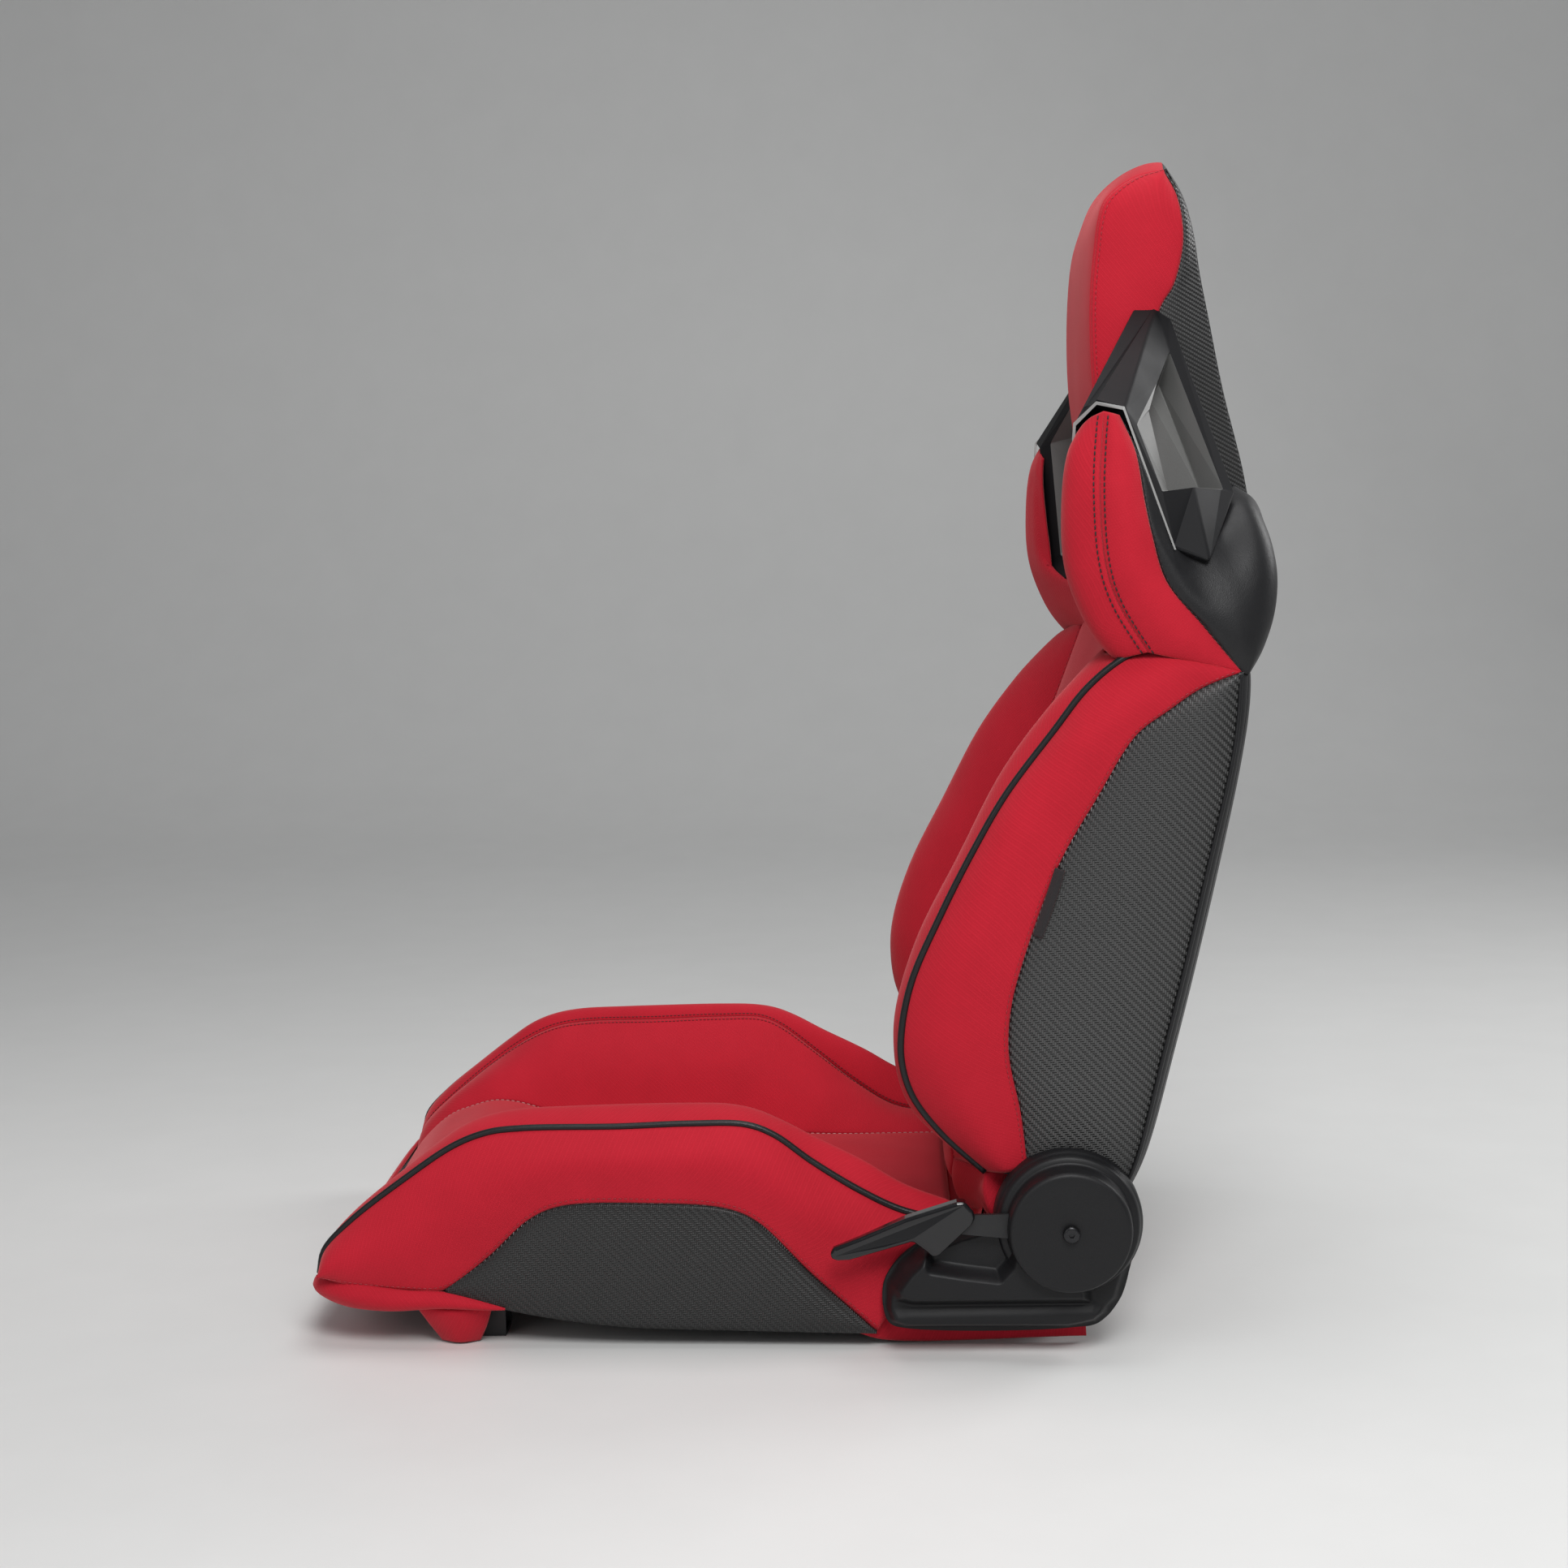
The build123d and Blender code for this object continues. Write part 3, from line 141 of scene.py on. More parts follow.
def normals(grid):
    """Unit normals of a surface grid."""
    n = np.cross(np.gradient(grid, axis=1), np.gradient(grid, axis=0))
    return n / np.maximum(np.linalg.norm(n, axis=-1, keepdims=True), TINY)


def outward(grid, inside):
    """1 if the grid's own normals point away from a point inside the padding, otherwise -1."""
    return 1 if np.sum(normals(grid) * (grid - np.asarray(inside, float))) > 0 else -1


def edge_distances(grid):
    """Distance of each grid point to the first row, last row, first column and last column."""
    down = np.cumsum(np.linalg.norm(np.diff(grid, axis=0, prepend=grid[:1]), axis=-1), axis=0)
    along = np.cumsum(np.linalg.norm(np.diff(grid, axis=1, prepend=grid[:, :1]), axis=-1), axis=1)
    return down, down[-1:] - down, along, along[:, -1:] - along


def puff(grid, inside, lift, crown, roll=SEAM_ROLL, sewn=ALL_SEWN):
    """Raises a panel by lift just inside its sewn edges and by crown towards its middle."""
    distances = edge_distances(grid)
    rise = np.full(grid.shape[:2], float(lift))
    for distance, held in zip(distances, sewn):
        if held:
            rise *= 1 - np.exp(-distance / roll)
    width = np.maximum(distances[0] + distances[1], TINY)
    span = np.maximum(distances[2] + distances[3], TINY)
    bell = np.sin(math.pi * np.clip(distances[0] / width, 0, 1)).clip(0) ** CROWN_FULLNESS
    ends = np.sqrt(np.minimum(1, np.minimum(distances[2], distances[3]) / (END_SHARE * span)))
    rise += crown * bell * ends
    return grid + outward(grid, inside) * rise[..., None] * normals(grid)


def mirrored(points):
    """The same shape on the other side of the seat."""
    return np.asarray(points) * (-1, 1, 1)


# every paired piece is laid out on the left and mirrored for the right
SIDES = (("left", np.asarray), ("right", mirrored))

# ---- pieces ----


def mesh_object(name, vertices, faces, uvs=None):
    """Mesh from vertices in millimetres; uvs has one pair in millimetres for each vertex."""
    mesh = bpy.data.meshes.new(name)
    mesh.from_pydata((np.asarray(vertices) / METRE).tolist(), [], faces)
    mesh.validate()
    if uvs is not None:
        layer = mesh.uv_layers.new(name="cloth")
        corner = np.empty(len(mesh.loops), dtype=np.int32)
        mesh.loops.foreach_get("vertex_index", corner)
        layer.data.foreach_set("uv", (np.asarray(uvs)[corner] / METRE).ravel())
    mesh.polygons.foreach_set("use_smooth", [True] * len(mesh.polygons))
    piece = bpy.data.objects.new(name, mesh)
    bpy.context.scene.collection.objects.link(piece)
    return piece


def grid_faces(rows, columns, flip=False, closed=False):
    """Quads of a grid; closed joins its last column to its first."""
    faces = []
    for r in range(rows - 1):
        for c in range(columns if closed else columns - 1):
            d = (c + 1) % columns
            quad = [r * columns + c, r * columns + d, (r + 1) * columns + d, (r + 1) * columns + c]
            faces.append(quad[::-1] if flip else quad)
    return faces


def finished(piece, material, body, nodes=()):
    """Gives a piece its material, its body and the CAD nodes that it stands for."""
    piece.data.materials.append(material)
    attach(piece, body)
    if nodes:
        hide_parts(*nodes)


def flat_facets(piece, bevel, segments, smallest_angle):
    """Shades a moulding flat and rounds its edges a little."""
    piece.data.polygons.foreach_set("use_smooth", [False] * len(piece.data.polygons))
    soften = piece.modifiers.new("soften", "BEVEL")
    soften.width = bevel / METRE
    soften.segments = segments
    soften.limit_method = "ANGLE"
    soften.angle_limit = math.radians(smallest_angle)


def evened(shift):
    """Evens out small creases in a field of movements; its rim stays still."""
    for _ in range(SMOOTHING_ROUNDS):
        inner = (shift[:-2, 1:-1] + shift[2:, 1:-1] + shift[1:-1, :-2] + shift[1:-1, 2:]) / 4
        shift[1:-1, 1:-1] = inner
    return shift


def settle(grid, inside, pressure, slack):
    """Cloth simulation of one panel, sewn down all round and pushed outwards by the foam."""
    rows, columns = grid.shape[:2]
    flip = outward(grid, inside) < 0
    piece = mesh_object("cloth_trial", grid.reshape(-1, 3), grid_faces(rows, columns, flip))
    held = piece.vertex_groups.new(name="held")
    index = np.arange(rows * columns).reshape(rows, columns)
    rim = np.unique(np.concatenate([index[0], index[-1], index[:, 0], index[:, -1]]))
    held.add([int(i) for i in rim], 1.0, "REPLACE")
    cloth = piece.modifiers.new("cloth", "CLOTH")
    settings = cloth.settings
    settings.vertex_group_mass = "held"
    settings.quality = CLOTH_QUALITY
    settings.mass = CLOTH_MASS
    settings.tension_stiffness = CLOTH_STIFFNESS
    settings.compression_stiffness = CLOTH_STIFFNESS
    settings.bending_stiffness = CLOTH_BENDING
    settings.use_pressure = True
    settings.uniform_pressure_force = pressure
    settings.shrink_min = -slack
    settings.effector_weights.gravity = 0
    cloth.point_cache.frame_end = CLOTH_FRAMES
    for number in range(1, CLOTH_FRAMES + 1):
        bpy.context.scene.frame_set(number)
    made = piece.evaluated_get(bpy.context.evaluated_depsgraph_get()).to_mesh()
    moved = np.empty(rows * columns * 3)
    made.vertices.foreach_get("co", moved)
    bpy.context.scene.frame_set(1)
    bpy.data.objects.remove(piece)
    shift = evened(moved.reshape(grid.shape) * METRE - grid)
    size = np.linalg.norm(shift, axis=-1, keepdims=True)
    return grid + shift * np.minimum(1, CLOTH_CAP / np.maximum(size, TINY))


def padded(rows, count, inside, lift, crown, pressure=0.8, slack=0.002, **kwargs):
    """Panel through rows of seams, puffed up over its foam and settled as cloth."""
    grid = puff(smooth(rows, count), inside, lift, crown, **kwargs)
    return settle(grid, inside, pressure, slack)


def sheet(name, grid, inside, material, body, nodes=(), thickness=CLOTH_THICKNESS, uvs=None):
    """A panel of cloth or vinyl with real thickness, from a surface grid."""
    rows, columns = grid.shape[:2]
    if uvs is None:
        down, _, along, _ = edge_distances(grid)
        uvs = np.stack([along, down], axis=-1)
    flip = outward(grid, inside) < 0
    piece = mesh_object(name, grid.reshape(-1, 3), grid_faces(rows, columns, flip), uvs.reshape(-1, 2))
    shell = piece.modifiers.new("thickness", "SOLIDIFY")
    shell.thickness = thickness / METRE
    shell.offset = -1
    finished(piece, material, body, nodes)


def side_uvs(grid):
    """Pattern coordinates straight from the side view, so a weave runs level over a side panel."""
    return grid[..., 1:]


def rear_uvs(grid):
    """Pattern coordinates straight from behind."""
    return grid[..., ::2]


def tube(name, path, radius, material, body, sides=10):
    """Round cord along a path."""
    path = np.asarray(path, float)
    tangent = np.gradient(path, axis=0)
    tangent /= np.linalg.norm(tangent, axis=1, keepdims=True)
    normal = np.cross(tangent[0], CORD_STRAY)
    rings = []
    for point, along in zip(path, tangent):
        normal = normal - along * np.dot(normal, along)
        normal /= np.linalg.norm(normal)
        other = np.cross(along, normal)
        turn = np.linspace(0, 2 * math.pi, sides, endpoint=False)[:, None]
        rings.append(point + radius * (np.cos(turn) * normal + np.sin(turn) * other))
    faces = grid_faces(len(path), sides, closed=True)
    faces.append(list(range(sides))[::-1])
    faces.append(list(range((len(path) - 1) * sides, len(path) * sides)))
    travelled = lengths(path)
    around = np.linspace(0, 2 * math.pi * radius, sides)
    uvs = np.stack(np.broadcast_arrays(travelled[:, None], around[None]), axis=-1).reshape(-1, 2)
    finished(mesh_object(name, np.concatenate(rings), faces, uvs), material, body)


def stitches(name, path, material, body, spacing=4.2, length=3.0, radius=STITCH_RADIUS):
    """Row of thread stitches lying on a path."""
    path = np.asarray(path, float)
    travelled = lengths(path)
    vertices, faces = [], []
    for start in np.arange(0, travelled[-1] - length, spacing):
        stations = np.stack([np.interp(start + length * s, travelled, path[:, k])
                             for s in STITCH_STATIONS for k in range(3)]).reshape(-1, 3)
        along = stations[-1] - stations[0]
        along /= max(np.linalg.norm(along), TINY)
        normal = np.cross(along, STRAY)
        normal /= np.linalg.norm(normal)
        other = np.cross(along, normal)
        first = len(vertices)
        for station, width in zip(stations, STITCH_WIDTHS):
            for k in range(STITCH_SIDES):
                a = 2 * math.pi * k / STITCH_SIDES
                vertices.append(station + radius * width * (math.cos(a) * normal + math.sin(a) * other))
        last = len(vertices) - STITCH_SIDES
        faces += [[first + i for i in face] for face in grid_faces(len(stations), STITCH_SIDES, closed=True)]
        faces.append([first + STITCH_SIDES - 1 - k for k in range(STITCH_SIDES)])
        faces.append([last + k for k in range(STITCH_SIDES)])
    finished(mesh_object(name, vertices, faces), material, body)


def row_inside(grid, inside, distance, raise_by=0.0, from_last=False):
    """Path on a panel at a distance from its first row, or from its last row, lifted off the surface."""
    work = grid[::-1] if from_last else grid
    down = edge_distances(work)[0]
    off = outward(work, inside) * normals(work) * raise_by
    path = []
    for c in range(work.shape[1]):
        depth = min(distance, 0.5 * down[-1, c])
        path.append([np.interp(depth, down[:, c], (work + off)[:, c, k]) for k in range(3)])
    return np.array(path)


def both(make, left_grid, inside, *args, name, nodes=(), **kwargs):
    """Makes a piece on the left and its mirror image on the right."""
    for side, flip in SIDES:
        own_nodes = [f"{side}_{node}" for node in nodes]
        make(f"{side}_{name}", flip(left_grid), flip(np.asarray(inside)), *args, nodes=own_nodes, **kwargs)


def both_lines(make, name, left_path, *args, **kwargs):
    """Makes a cord or a row of stitches on the left and its mirror image on the right."""
    for side, flip in SIDES:
        make(f"{side}_{name}", flip(left_path), *args, **kwargs)


# ---- materials ----


class Shader:
    """A material whose colour, roughness and bump come from nodes."""

    def __init__(self, name):
        self.material = bpy.data.materials.new(name)
        self.material.use_nodes = True
        self.tree = self.material.node_tree
        self.surface = self.tree.nodes["Principled BSDF"]

    def node(self, kind, values=None, **settings):
        made = self.tree.nodes.new(kind)
        for key, value in settings.items():
            setattr(made, key, value)
        for key, value in (values or {}).items():
            self.feed(made.inputs[key], value)
        return made

    def feed(self, socket, value):
        """Sets a socket to a number or colour, or links it to another node's output."""
        if isinstance(value, bpy.types.NodeSocket):
            self.tree.links.new(value, socket)
        else:
            socket.default_value = value

    def math(self, operation, *inputs):
        return self.node("ShaderNodeMath", dict(enumerate(inputs)), operation=operation).outputs[0]

    def mix(self, share, low, high):
        made = self.node("ShaderNodeMix", data_type="RGBA")
        for socket, value in ((made.inputs[0], share), (made.inputs[6], low), (made.inputs[7], high)):
            self.feed(socket, value)
        return made.outputs[2]

    def ramp(self, value, low, high):
        """Value stretched from 0..1 to low..high."""
        made = self.node("ShaderNodeMapRange", {"Value": value, "To Min": low, "To Max": high})
        return made.outputs["Result"]

    def cloth_coordinates(self):
        """The panel's own pattern coordinates in millimetres, as two numbers."""
        uv = self.node("ShaderNodeUVMap", uv_map="cloth").outputs[0]
        split = self.node("ShaderNodeSeparateXYZ", {0: uv})
        return (self.math("MULTIPLY", split.outputs[i], METRE) for i in (0, 1))

    def place(self):
        return self.node("ShaderNodeTexCoord").outputs["Object"]

    def noise(self, size, detail=3.0):
        """Noise whose spots are about size millimetres wide."""
        values = {"Vector": self.place(), "Scale": METRE / size, "Detail": detail, "Roughness": 0.55}
        return self.node("ShaderNodeTexNoise", values).outputs["Fac"]

    def cells(self, size):
        """Distance from the edges of cells about size millimetres wide."""
        values = {"Vector": self.place(), "Scale": METRE / size}
        return self.node("ShaderNodeTexVoronoi", values, feature="DISTANCE_TO_EDGE").outputs[0]

    def bump(self, height, depth, under=None):
        """Bump from a height of 0..1 that stands for depth millimetres."""
        values = {"Height": height, "Distance": depth / METRE, "Strength": 1.0}
        if under is not None:
            values["Normal"] = under
        return self.node("ShaderNodeBump", values).outputs[0]

    def finish(self, **values):
        for key, value in values.items():
            self.feed(self.surface.inputs[key.replace("_", " ")], value)
        return self.material


def fabric(name, deep, bright, pitch=2.2):
    """Knitted seat cloth: rows of small loops, soft sheen and slow colour variation."""
    s = Shader(name)
    u, v = s.cloth_coordinates()
    wave_u = s.math("SINE", s.math("MULTIPLY", u, 2 * math.pi / pitch))
    wave_v = s.math("SINE", s.math("MULTIPLY", v, 2 * math.pi / pitch))
    loops = s.ramp(s.math("MULTIPLY", wave_u, wave_v), 0.15, 0.85)
    ribs = s.ramp(s.math("SINE", s.math("MULTIPLY", s.math("ADD", u, v), math.pi / pitch)), 0.3, 0.7)
    weave = s.math("MULTIPLY", s.math("ADD", loops, ribs), 0.5)
    fuzz = s.noise(0.8)
    shade = s.math("ADD", s.math("MULTIPLY", weave, 0.45), s.math("MULTIPLY", s.noise(60.0), 0.55))
    colour = s.mix(shade, deep, bright)
    relief = s.bump(fuzz, 0.12, under=s.bump(weave, 0.25))
    return s.finish(
        Base_Color=colour, Roughness=s.ramp(fuzz, 0.68, 0.92), Normal=relief,
        Sheen_Weight=0.35, Sheen_Roughness=0.45, Sheen_Tint=(1.0, 0.35, 0.35, 1.0), Specular_IOR_Level=0.25,
    )


def twill_vinyl(name, tow=1.6, light=0.070):
    """Carbon-look vinyl: a two by two twill of flat tows pressed into glossy black vinyl."""
    s = Shader(name)
    u, v = s.cloth_coordinates()
    across_u = s.math("DIVIDE", u, tow)
    across_v = s.math("DIVIDE", v, tow)
    column = s.math("FLOOR", across_u)
    row = s.math("FLOOR", across_v)
    phase = s.math("FLOORED_MODULO", s.math("ADD", column, row), 4.0)
    over = s.math("LESS_THAN", phase, 2.0)
    ridge_u = s.math("ABSOLUTE", s.math("SINE", s.math("MULTIPLY", across_u, math.pi)))
    ridge_v = s.math("ABSOLUTE", s.math("SINE", s.math("MULTIPLY", across_v, math.pi)))
    height = s.math("ADD", s.math("MULTIPLY", over, ridge_u),
                    s.math("MULTIPLY", s.math("SUBTRACT", 1.0, over), s.math("MULTIPLY", ridge_v, 0.6)))
    colour = s.mix(over, (0.003, 0.003, 0.003, 1), (light, light, light, 1))
    relief = s.bump(s.noise(0.9), 0.05, under=s.bump(height, 0.6))
    return s.finish(
        Base_Color=colour, Roughness=s.ramp(over, 0.5, 0.34), Normal=relief, Specular_IOR_Level=0.5,
        Coat_Weight=0.12, Coat_Roughness=0.3,
    )


def grained_vinyl(name, roughness=0.44):
    """Smooth black vinyl with a fine leather grain."""
    s = Shader(name)
    grain = s.cells(1.6)
    relief = s.bump(s.noise(5.0), 0.10, under=s.bump(grain, 0.12))
    colour = s.mix(s.noise(40.0), (0.008, 0.008, 0.009, 1), (0.015, 0.015, 0.016, 1))
    return s.finish(
        Base_Color=colour, Roughness=s.ramp(s.noise(3.0), roughness - 0.07, roughness + 0.1),
        Normal=relief, Specular_IOR_Level=0.3,
    )


def moulded_plastic(name, base, light, roughness, grain=0.7, depth=0.08, shine=0.3, **extra):
    """Moulded plastic with a fine spark-eroded texture and slightly rubbed patches."""
    s = Shader(name)
    speckle = s.noise(grain, detail=2.0)
    rubbed = s.noise(35.0)
    return s.finish(
        Base_Color=s.mix(speckle, base, light), Roughness=s.ramp(rubbed, roughness - 0.08, roughness + 0.08),
        Normal=s.bump(speckle, depth), Specular_IOR_Level=shine, **extra,
    )


def metal(name, base, light, roughness, metallic=1.0, grain=2.5):
    """Plated or painted metal with faint streaks."""
    s = Shader(name)
    streak = s.noise(grain, detail=5.0)
    return s.finish(
        Base_Color=s.mix(s.noise(18.0), base, light), Metallic=metallic,
        Roughness=s.ramp(streak, roughness - 0.1, roughness + 0.12), Normal=s.bump(streak, 0.05),
    )


def thread(name, colour, shine=0.5):
    """Sewing thread or cord with twisted strands."""
    s = Shader(name)
    strand = s.noise(0.5, detail=2.0)
    dark = tuple(c * 0.55 for c in colour[:3]) + (1,)
    return s.finish(Base_Color=s.mix(strand, dark, colour), Roughness=shine, Normal=s.bump(strand, 0.15))


RED = fabric("red_seat_cloth", (0.36, 0.004, 0.014, 1), (0.60, 0.012, 0.032, 1))
CARBON = twill_vinyl("carbon_look_vinyl")
# a darker copy of the carbon-look vinyl: painted shade for the cushion's lower side panels, which lie in shadow
SHADED_CARBON = twill_vinyl("carbon_look_vinyl_painted_shade", light=0.022)
VINYL = grained_vinyl("smooth_black_vinyl")
PIPING = grained_vinyl("piping_vinyl", roughness=0.36)
COVER_PLASTIC = moulded_plastic(
    "textured_black_plastic", (0.005, 0.005, 0.006, 1), (0.011, 0.011, 0.012, 1), 0.48, depth=0.10)
RING_PLASTIC = moulded_plastic(
    "satin_black_plastic", (0.004, 0.004, 0.005, 1), (0.008, 0.008, 0.009, 1), 0.55, depth=0.04,
    shine=0.2)
LINER_PLASTIC = moulded_plastic(
    "grey_liner_plastic", (0.15, 0.15, 0.146, 1), (0.20, 0.20, 0.195, 1), 0.45, depth=0.03)
# pale plastic for the painted highlight along the harness bezel's outer edge
EDGE_HIGHLIGHT_PLASTIC = moulded_plastic(
    "painted_edge_highlight_plastic", (0.24, 0.24, 0.235, 1), (0.30, 0.30, 0.295, 1), 0.32, depth=0.02, shine=0.5)
GLOSS_PLASTIC = moulded_plastic(
    "gloss_black_plastic", (0.003, 0.003, 0.004, 1), (0.006, 0.006, 0.007, 1), 0.22, grain=6.0, depth=0.02,
    Coat_Weight=0.5, Coat_Roughness=0.12)
STEEL = metal(
    "black_powder_coat", (0.006, 0.006, 0.007, 1), (0.013, 0.013, 0.014, 1), 0.48, metallic=0.0, grain=1.2)
ZINC = metal("zinc_plate", (0.42, 0.42, 0.40, 1), (0.62, 0.61, 0.57, 1), 0.36)
WIRE = metal("phosphated_wire", (0.05, 0.05, 0.055, 1), (0.10, 0.10, 0.11, 1), 0.42, metallic=0.8)
SCREW_STEEL = metal("black_oxide_steel", (0.02, 0.02, 0.022, 1), (0.05, 0.05, 0.052, 1), 0.28, metallic=0.9)
FELT = thread("underside_felt", (0.05, 0.05, 0.052, 1), shine=0.95)
BLACK_THREAD = thread("black_thread", (0.02, 0.012, 0.014, 1))
RED_THREAD = thread("red_thread", (0.46, 0.02, 0.035, 1))
DARK_RED_THREAD = thread("dark_red_thread", (0.10, 0.004, 0.008, 1))
PALE_THREAD = thread("pale_thread", (0.62, 0.30, 0.30, 1))
TAG_CLOTH = fabric("tag_weave", (0.010, 0.010, 0.011, 1), (0.035, 0.035, 0.037, 1), pitch=0.9)

# The looks that belong to each material slot. Carried-over CAD nodes wear the first one.
SLOT_LOOKS = {
    "black_steel": [STEEL],
    "plated_steel": [ZINC],
    "spring_steel": [WIRE],
    "textured_plastic": [COVER_PLASTIC, RING_PLASTIC, LINER_PLASTIC, EDGE_HIGHLIGHT_PLASTIC],
    "gloss_plastic": [GLOSS_PLASTIC],
    "red_fabric": [RED, FELT],
    "carbon_vinyl": [CARBON, SHADED_CARBON, VINYL, PIPING],
    "tag_fabric": [TAG_CLOTH],
}
for part in frame["record"]["subparts"]:
    look = SCREW_STEEL if part["node"] == "cover_screws" else SLOT_LOOKS[part["material_slot"]][0]
    for material_slot in frame["nodes"][part["node"]].material_slots:
        material_slot.material = look

# ---- cushion ----

# Seams from the front of the seat to its rear, in the side view.
INSERT_SEAM = seam((162, 155, 148, 144, 138), [
    (-287, 52), (-272, 72), (-250, 91), (-231, 99), (-210, 105), (-188, 104), (-158, 96), (-100, 86), (0, 78),
    (100, 74), (203, 76)])
TOP_SEAM = seam((205, 198, 195, 194, 194, 194, 190), [
    (-289, 54), (-280, 74), (-256, 98), (-222, 127), (-188, 151), (-158, 165), (-130, 170), (-60, 172),
    (0, 174), (38, 173), (56, 165), (86, 142), (124, 112), (160, 90), (203, 82)])
CUSHION_CREST = seam((216, 210, 206, 205, 205, 206, 210), [
    (-291, 57), (-281, 79), (-266, 96), (-224, 131), (-198, 151), (-179, 164), (-160, 172), (-135, 177),
    (-96, 179), (-1, 181), (31, 180), (50, 176), (69, 168), (94, 155), (132, 136), (165, 117), (203, 104)])
CUSHION_PIPING = seam(231, [
    (-290, 57), (-286, 75), (-266, 97), (-221, 132), (-182, 158), (-156, 168), (-131, 171), (-55, 172),
    (1, 174), (45, 173), (66, 165), (95, 144), (132, 121), (163, 106), (198, 97)])
# Where the red side ends: along the lip, over the black side panel and down to the rear hem.
RED_LOWER_EDGE = seam((242, 248, 250, 250, 250, 248), [
    (-290, 56), (-266, 51), (-221, 47), (-189, 48), (-156, 73), (-122, 104), (-98, 114), (-30, 116),
    (28, 112), (52, 102), (94, 60), (144, 14)])
BLACK_UPPER_EDGE = seam(250, [
    (-189, 48), (-156, 73), (-122, 104), (-98, 114), (-30, 116), (28, 112), (52, 102), (94, 60), (144, 14)])
BLACK_LOWER_EDGE = seam((249, 246, 246, 248), [(-189, 45), (-143, 31), (-63, 18), (40, 14), (144, 12)])

CUSHION_CORE = (205, -40, 70)
INSERT_CORE = (0, -40, 30)

insert_rows = bowed(INSERT_SEAM, mirrored(INSERT_SEAM), push=(0, 0, -4))
insert_top = padded(insert_rows, 56, INSERT_CORE, 2.0, 2.0, pressure=1.0, slack=0.004, sewn=LAST_COLUMN_FREE)
sheet("cushion_insert", insert_top, INSERT_CORE, RED, BASE, ["cushion_centre_pad"])

inner_rows = bowed(INSERT_SEAM, TOP_SEAM, push=(-6, 0, 2))
cushion_inner = padded(inner_rows, 36, CUSHION_CORE, 2.0, 2.0, sewn=LAST_COLUMN_FREE)
both(sheet, cushion_inner, CUSHION_CORE, RED, BASE, name="cushion_bolster_inner")

cushion_top = smooth([TOP_SEAM, CUSHION_CREST, CUSHION_PIPING], 20)
cushion_top = puff(cushion_top, CUSHION_CORE, 1.6, 1.4, roll=4.0, sewn=LAST_COLUMN_FREE)
both(sheet, cushion_top, CUSHION_CORE, RED, BASE, name="cushion_bolster_top", nodes=["cushion_bolster"])

cushion_side = padded(bowed(CUSHION_PIPING, RED_LOWER_EDGE, 0.42, (10, 0, 0)), 34, CUSHION_CORE, 2.0, 2.0)
both(sheet, cushion_side, CUSHION_CORE, RED, BASE, name="cushion_side_panel")

black_side = puff(smooth([BLACK_UPPER_EDGE, BLACK_LOWER_EDGE], 26), CUSHION_CORE, 1.2, 2.0, roll=5.0)
# the cushion's lower side panels wear the darker copy of the carbon-look vinyl, whose darkness is painted shade
both(sheet, black_side, CUSHION_CORE, SHADED_CARBON, BASE, name="cushion_lower_panel", uvs=side_uvs(black_side))


def round_front(points):
    """Row of the lip, from the left side round the front to the right side, through its left points."""
    return smooth(points + [(-x, y, z) for x, y, z in points[-2::-1]], 2 * SEAM_STEPS)


# the lip is one band round the front, and each of its rows ends at the middle of the seat
LIP_TOP = round_front([
    (248, -143, 33), (249, -187, 46), (249, -221, 48), (245, -262, 53), (229, -286, 56), (200, -290, 56),
    (0, -290, 54)])
LIP_BULGE = round_front([
    (249, -143, 32), (252, -196, 39), (250, -240, 39), (245, -270, 42), (227, -294, 44), (200, -297, 45),
    (0, -298, 44)])
LIP_BOTTOM = round_front([
    (246, -143, 31), (247, -196, 33), (243, -235, 31), (234, -264, 31), (218, -280, 32), (196, -284, 33),
    (0, -284, 33)])
LIP_UNDER = LIP_BOTTOM * (0.9, 0.9, 1.0) + (0, -4, 2)
LIP_CORE = (0, -200, 42)
lip = padded([LIP_TOP, LIP_BULGE, LIP_BOTTOM, LIP_UNDER], 26, LIP_CORE, 1.5, 1.0, slack=0.006)
sheet("cushion_front_lip_cover", lip, LIP_CORE, RED, BASE, ["cushion_front_lip"])

# hem below the recliner cover, and the flap beside the front foot
hem_top = seam((246, 232), [(110, 40), (150, 26), (305, 24)], 60)
hem_bottom = seam((244, 232), [(128, 12), (150, 4), (306, 5)], 60)
hem = puff(smooth([hem_top, hem_bottom], 10), CUSHION_CORE, 1.0, 1.0)
both(sheet, hem, CUSHION_CORE, RED, BASE, name="cushion_rear_hem")

BEHIND_FLAP = (200, -185, 20)
flap_front = smooth([(240, -214, 32), (234, -205, 16), (228, -196, 1)], 24)
flap_rear = smooth([(240, -154, 32), (234, -160, 14), (228, -166, 1)], 24)
flap = smooth(bowed(flap_front, flap_rear, push=(6, 0, 0)), 20)
flap = puff(flap, BEHIND_FLAP, 1.0, 2.0, sewn=FIRST_COLUMN_FREE)
both(sheet, flap, BEHIND_FLAP, RED, BASE, name="front_foot_flap", thickness=3.0)

UNDERSIDE_LEVEL = 58
UNDERSIDE_HALF, UNDERSIDE_FRONT, UNDERSIDE_REAR = 243, -284, 188
UNDERSIDE_SAG = 1.5
UNDERSIDE_STEPS = 60
across = np.linspace(-UNDERSIDE_HALF, UNDERSIDE_HALF, UNDERSIDE_STEPS)
rearwards = np.linspace(UNDERSIDE_FRONT, UNDERSIDE_REAR, UNDERSIDE_STEPS)
under_x, under_y = np.meshgrid(across, rearwards, indexing="ij")
under_z = UNDERSIDE_LEVEL + UNDERSIDE_SAG * np.sin(under_x / 25) * np.sin(under_y / 31)
sheet("cushion_underside", np.stack([under_x, under_y, under_z], -1), (0, 0, 100), FELT, BASE, thickness=1.5)

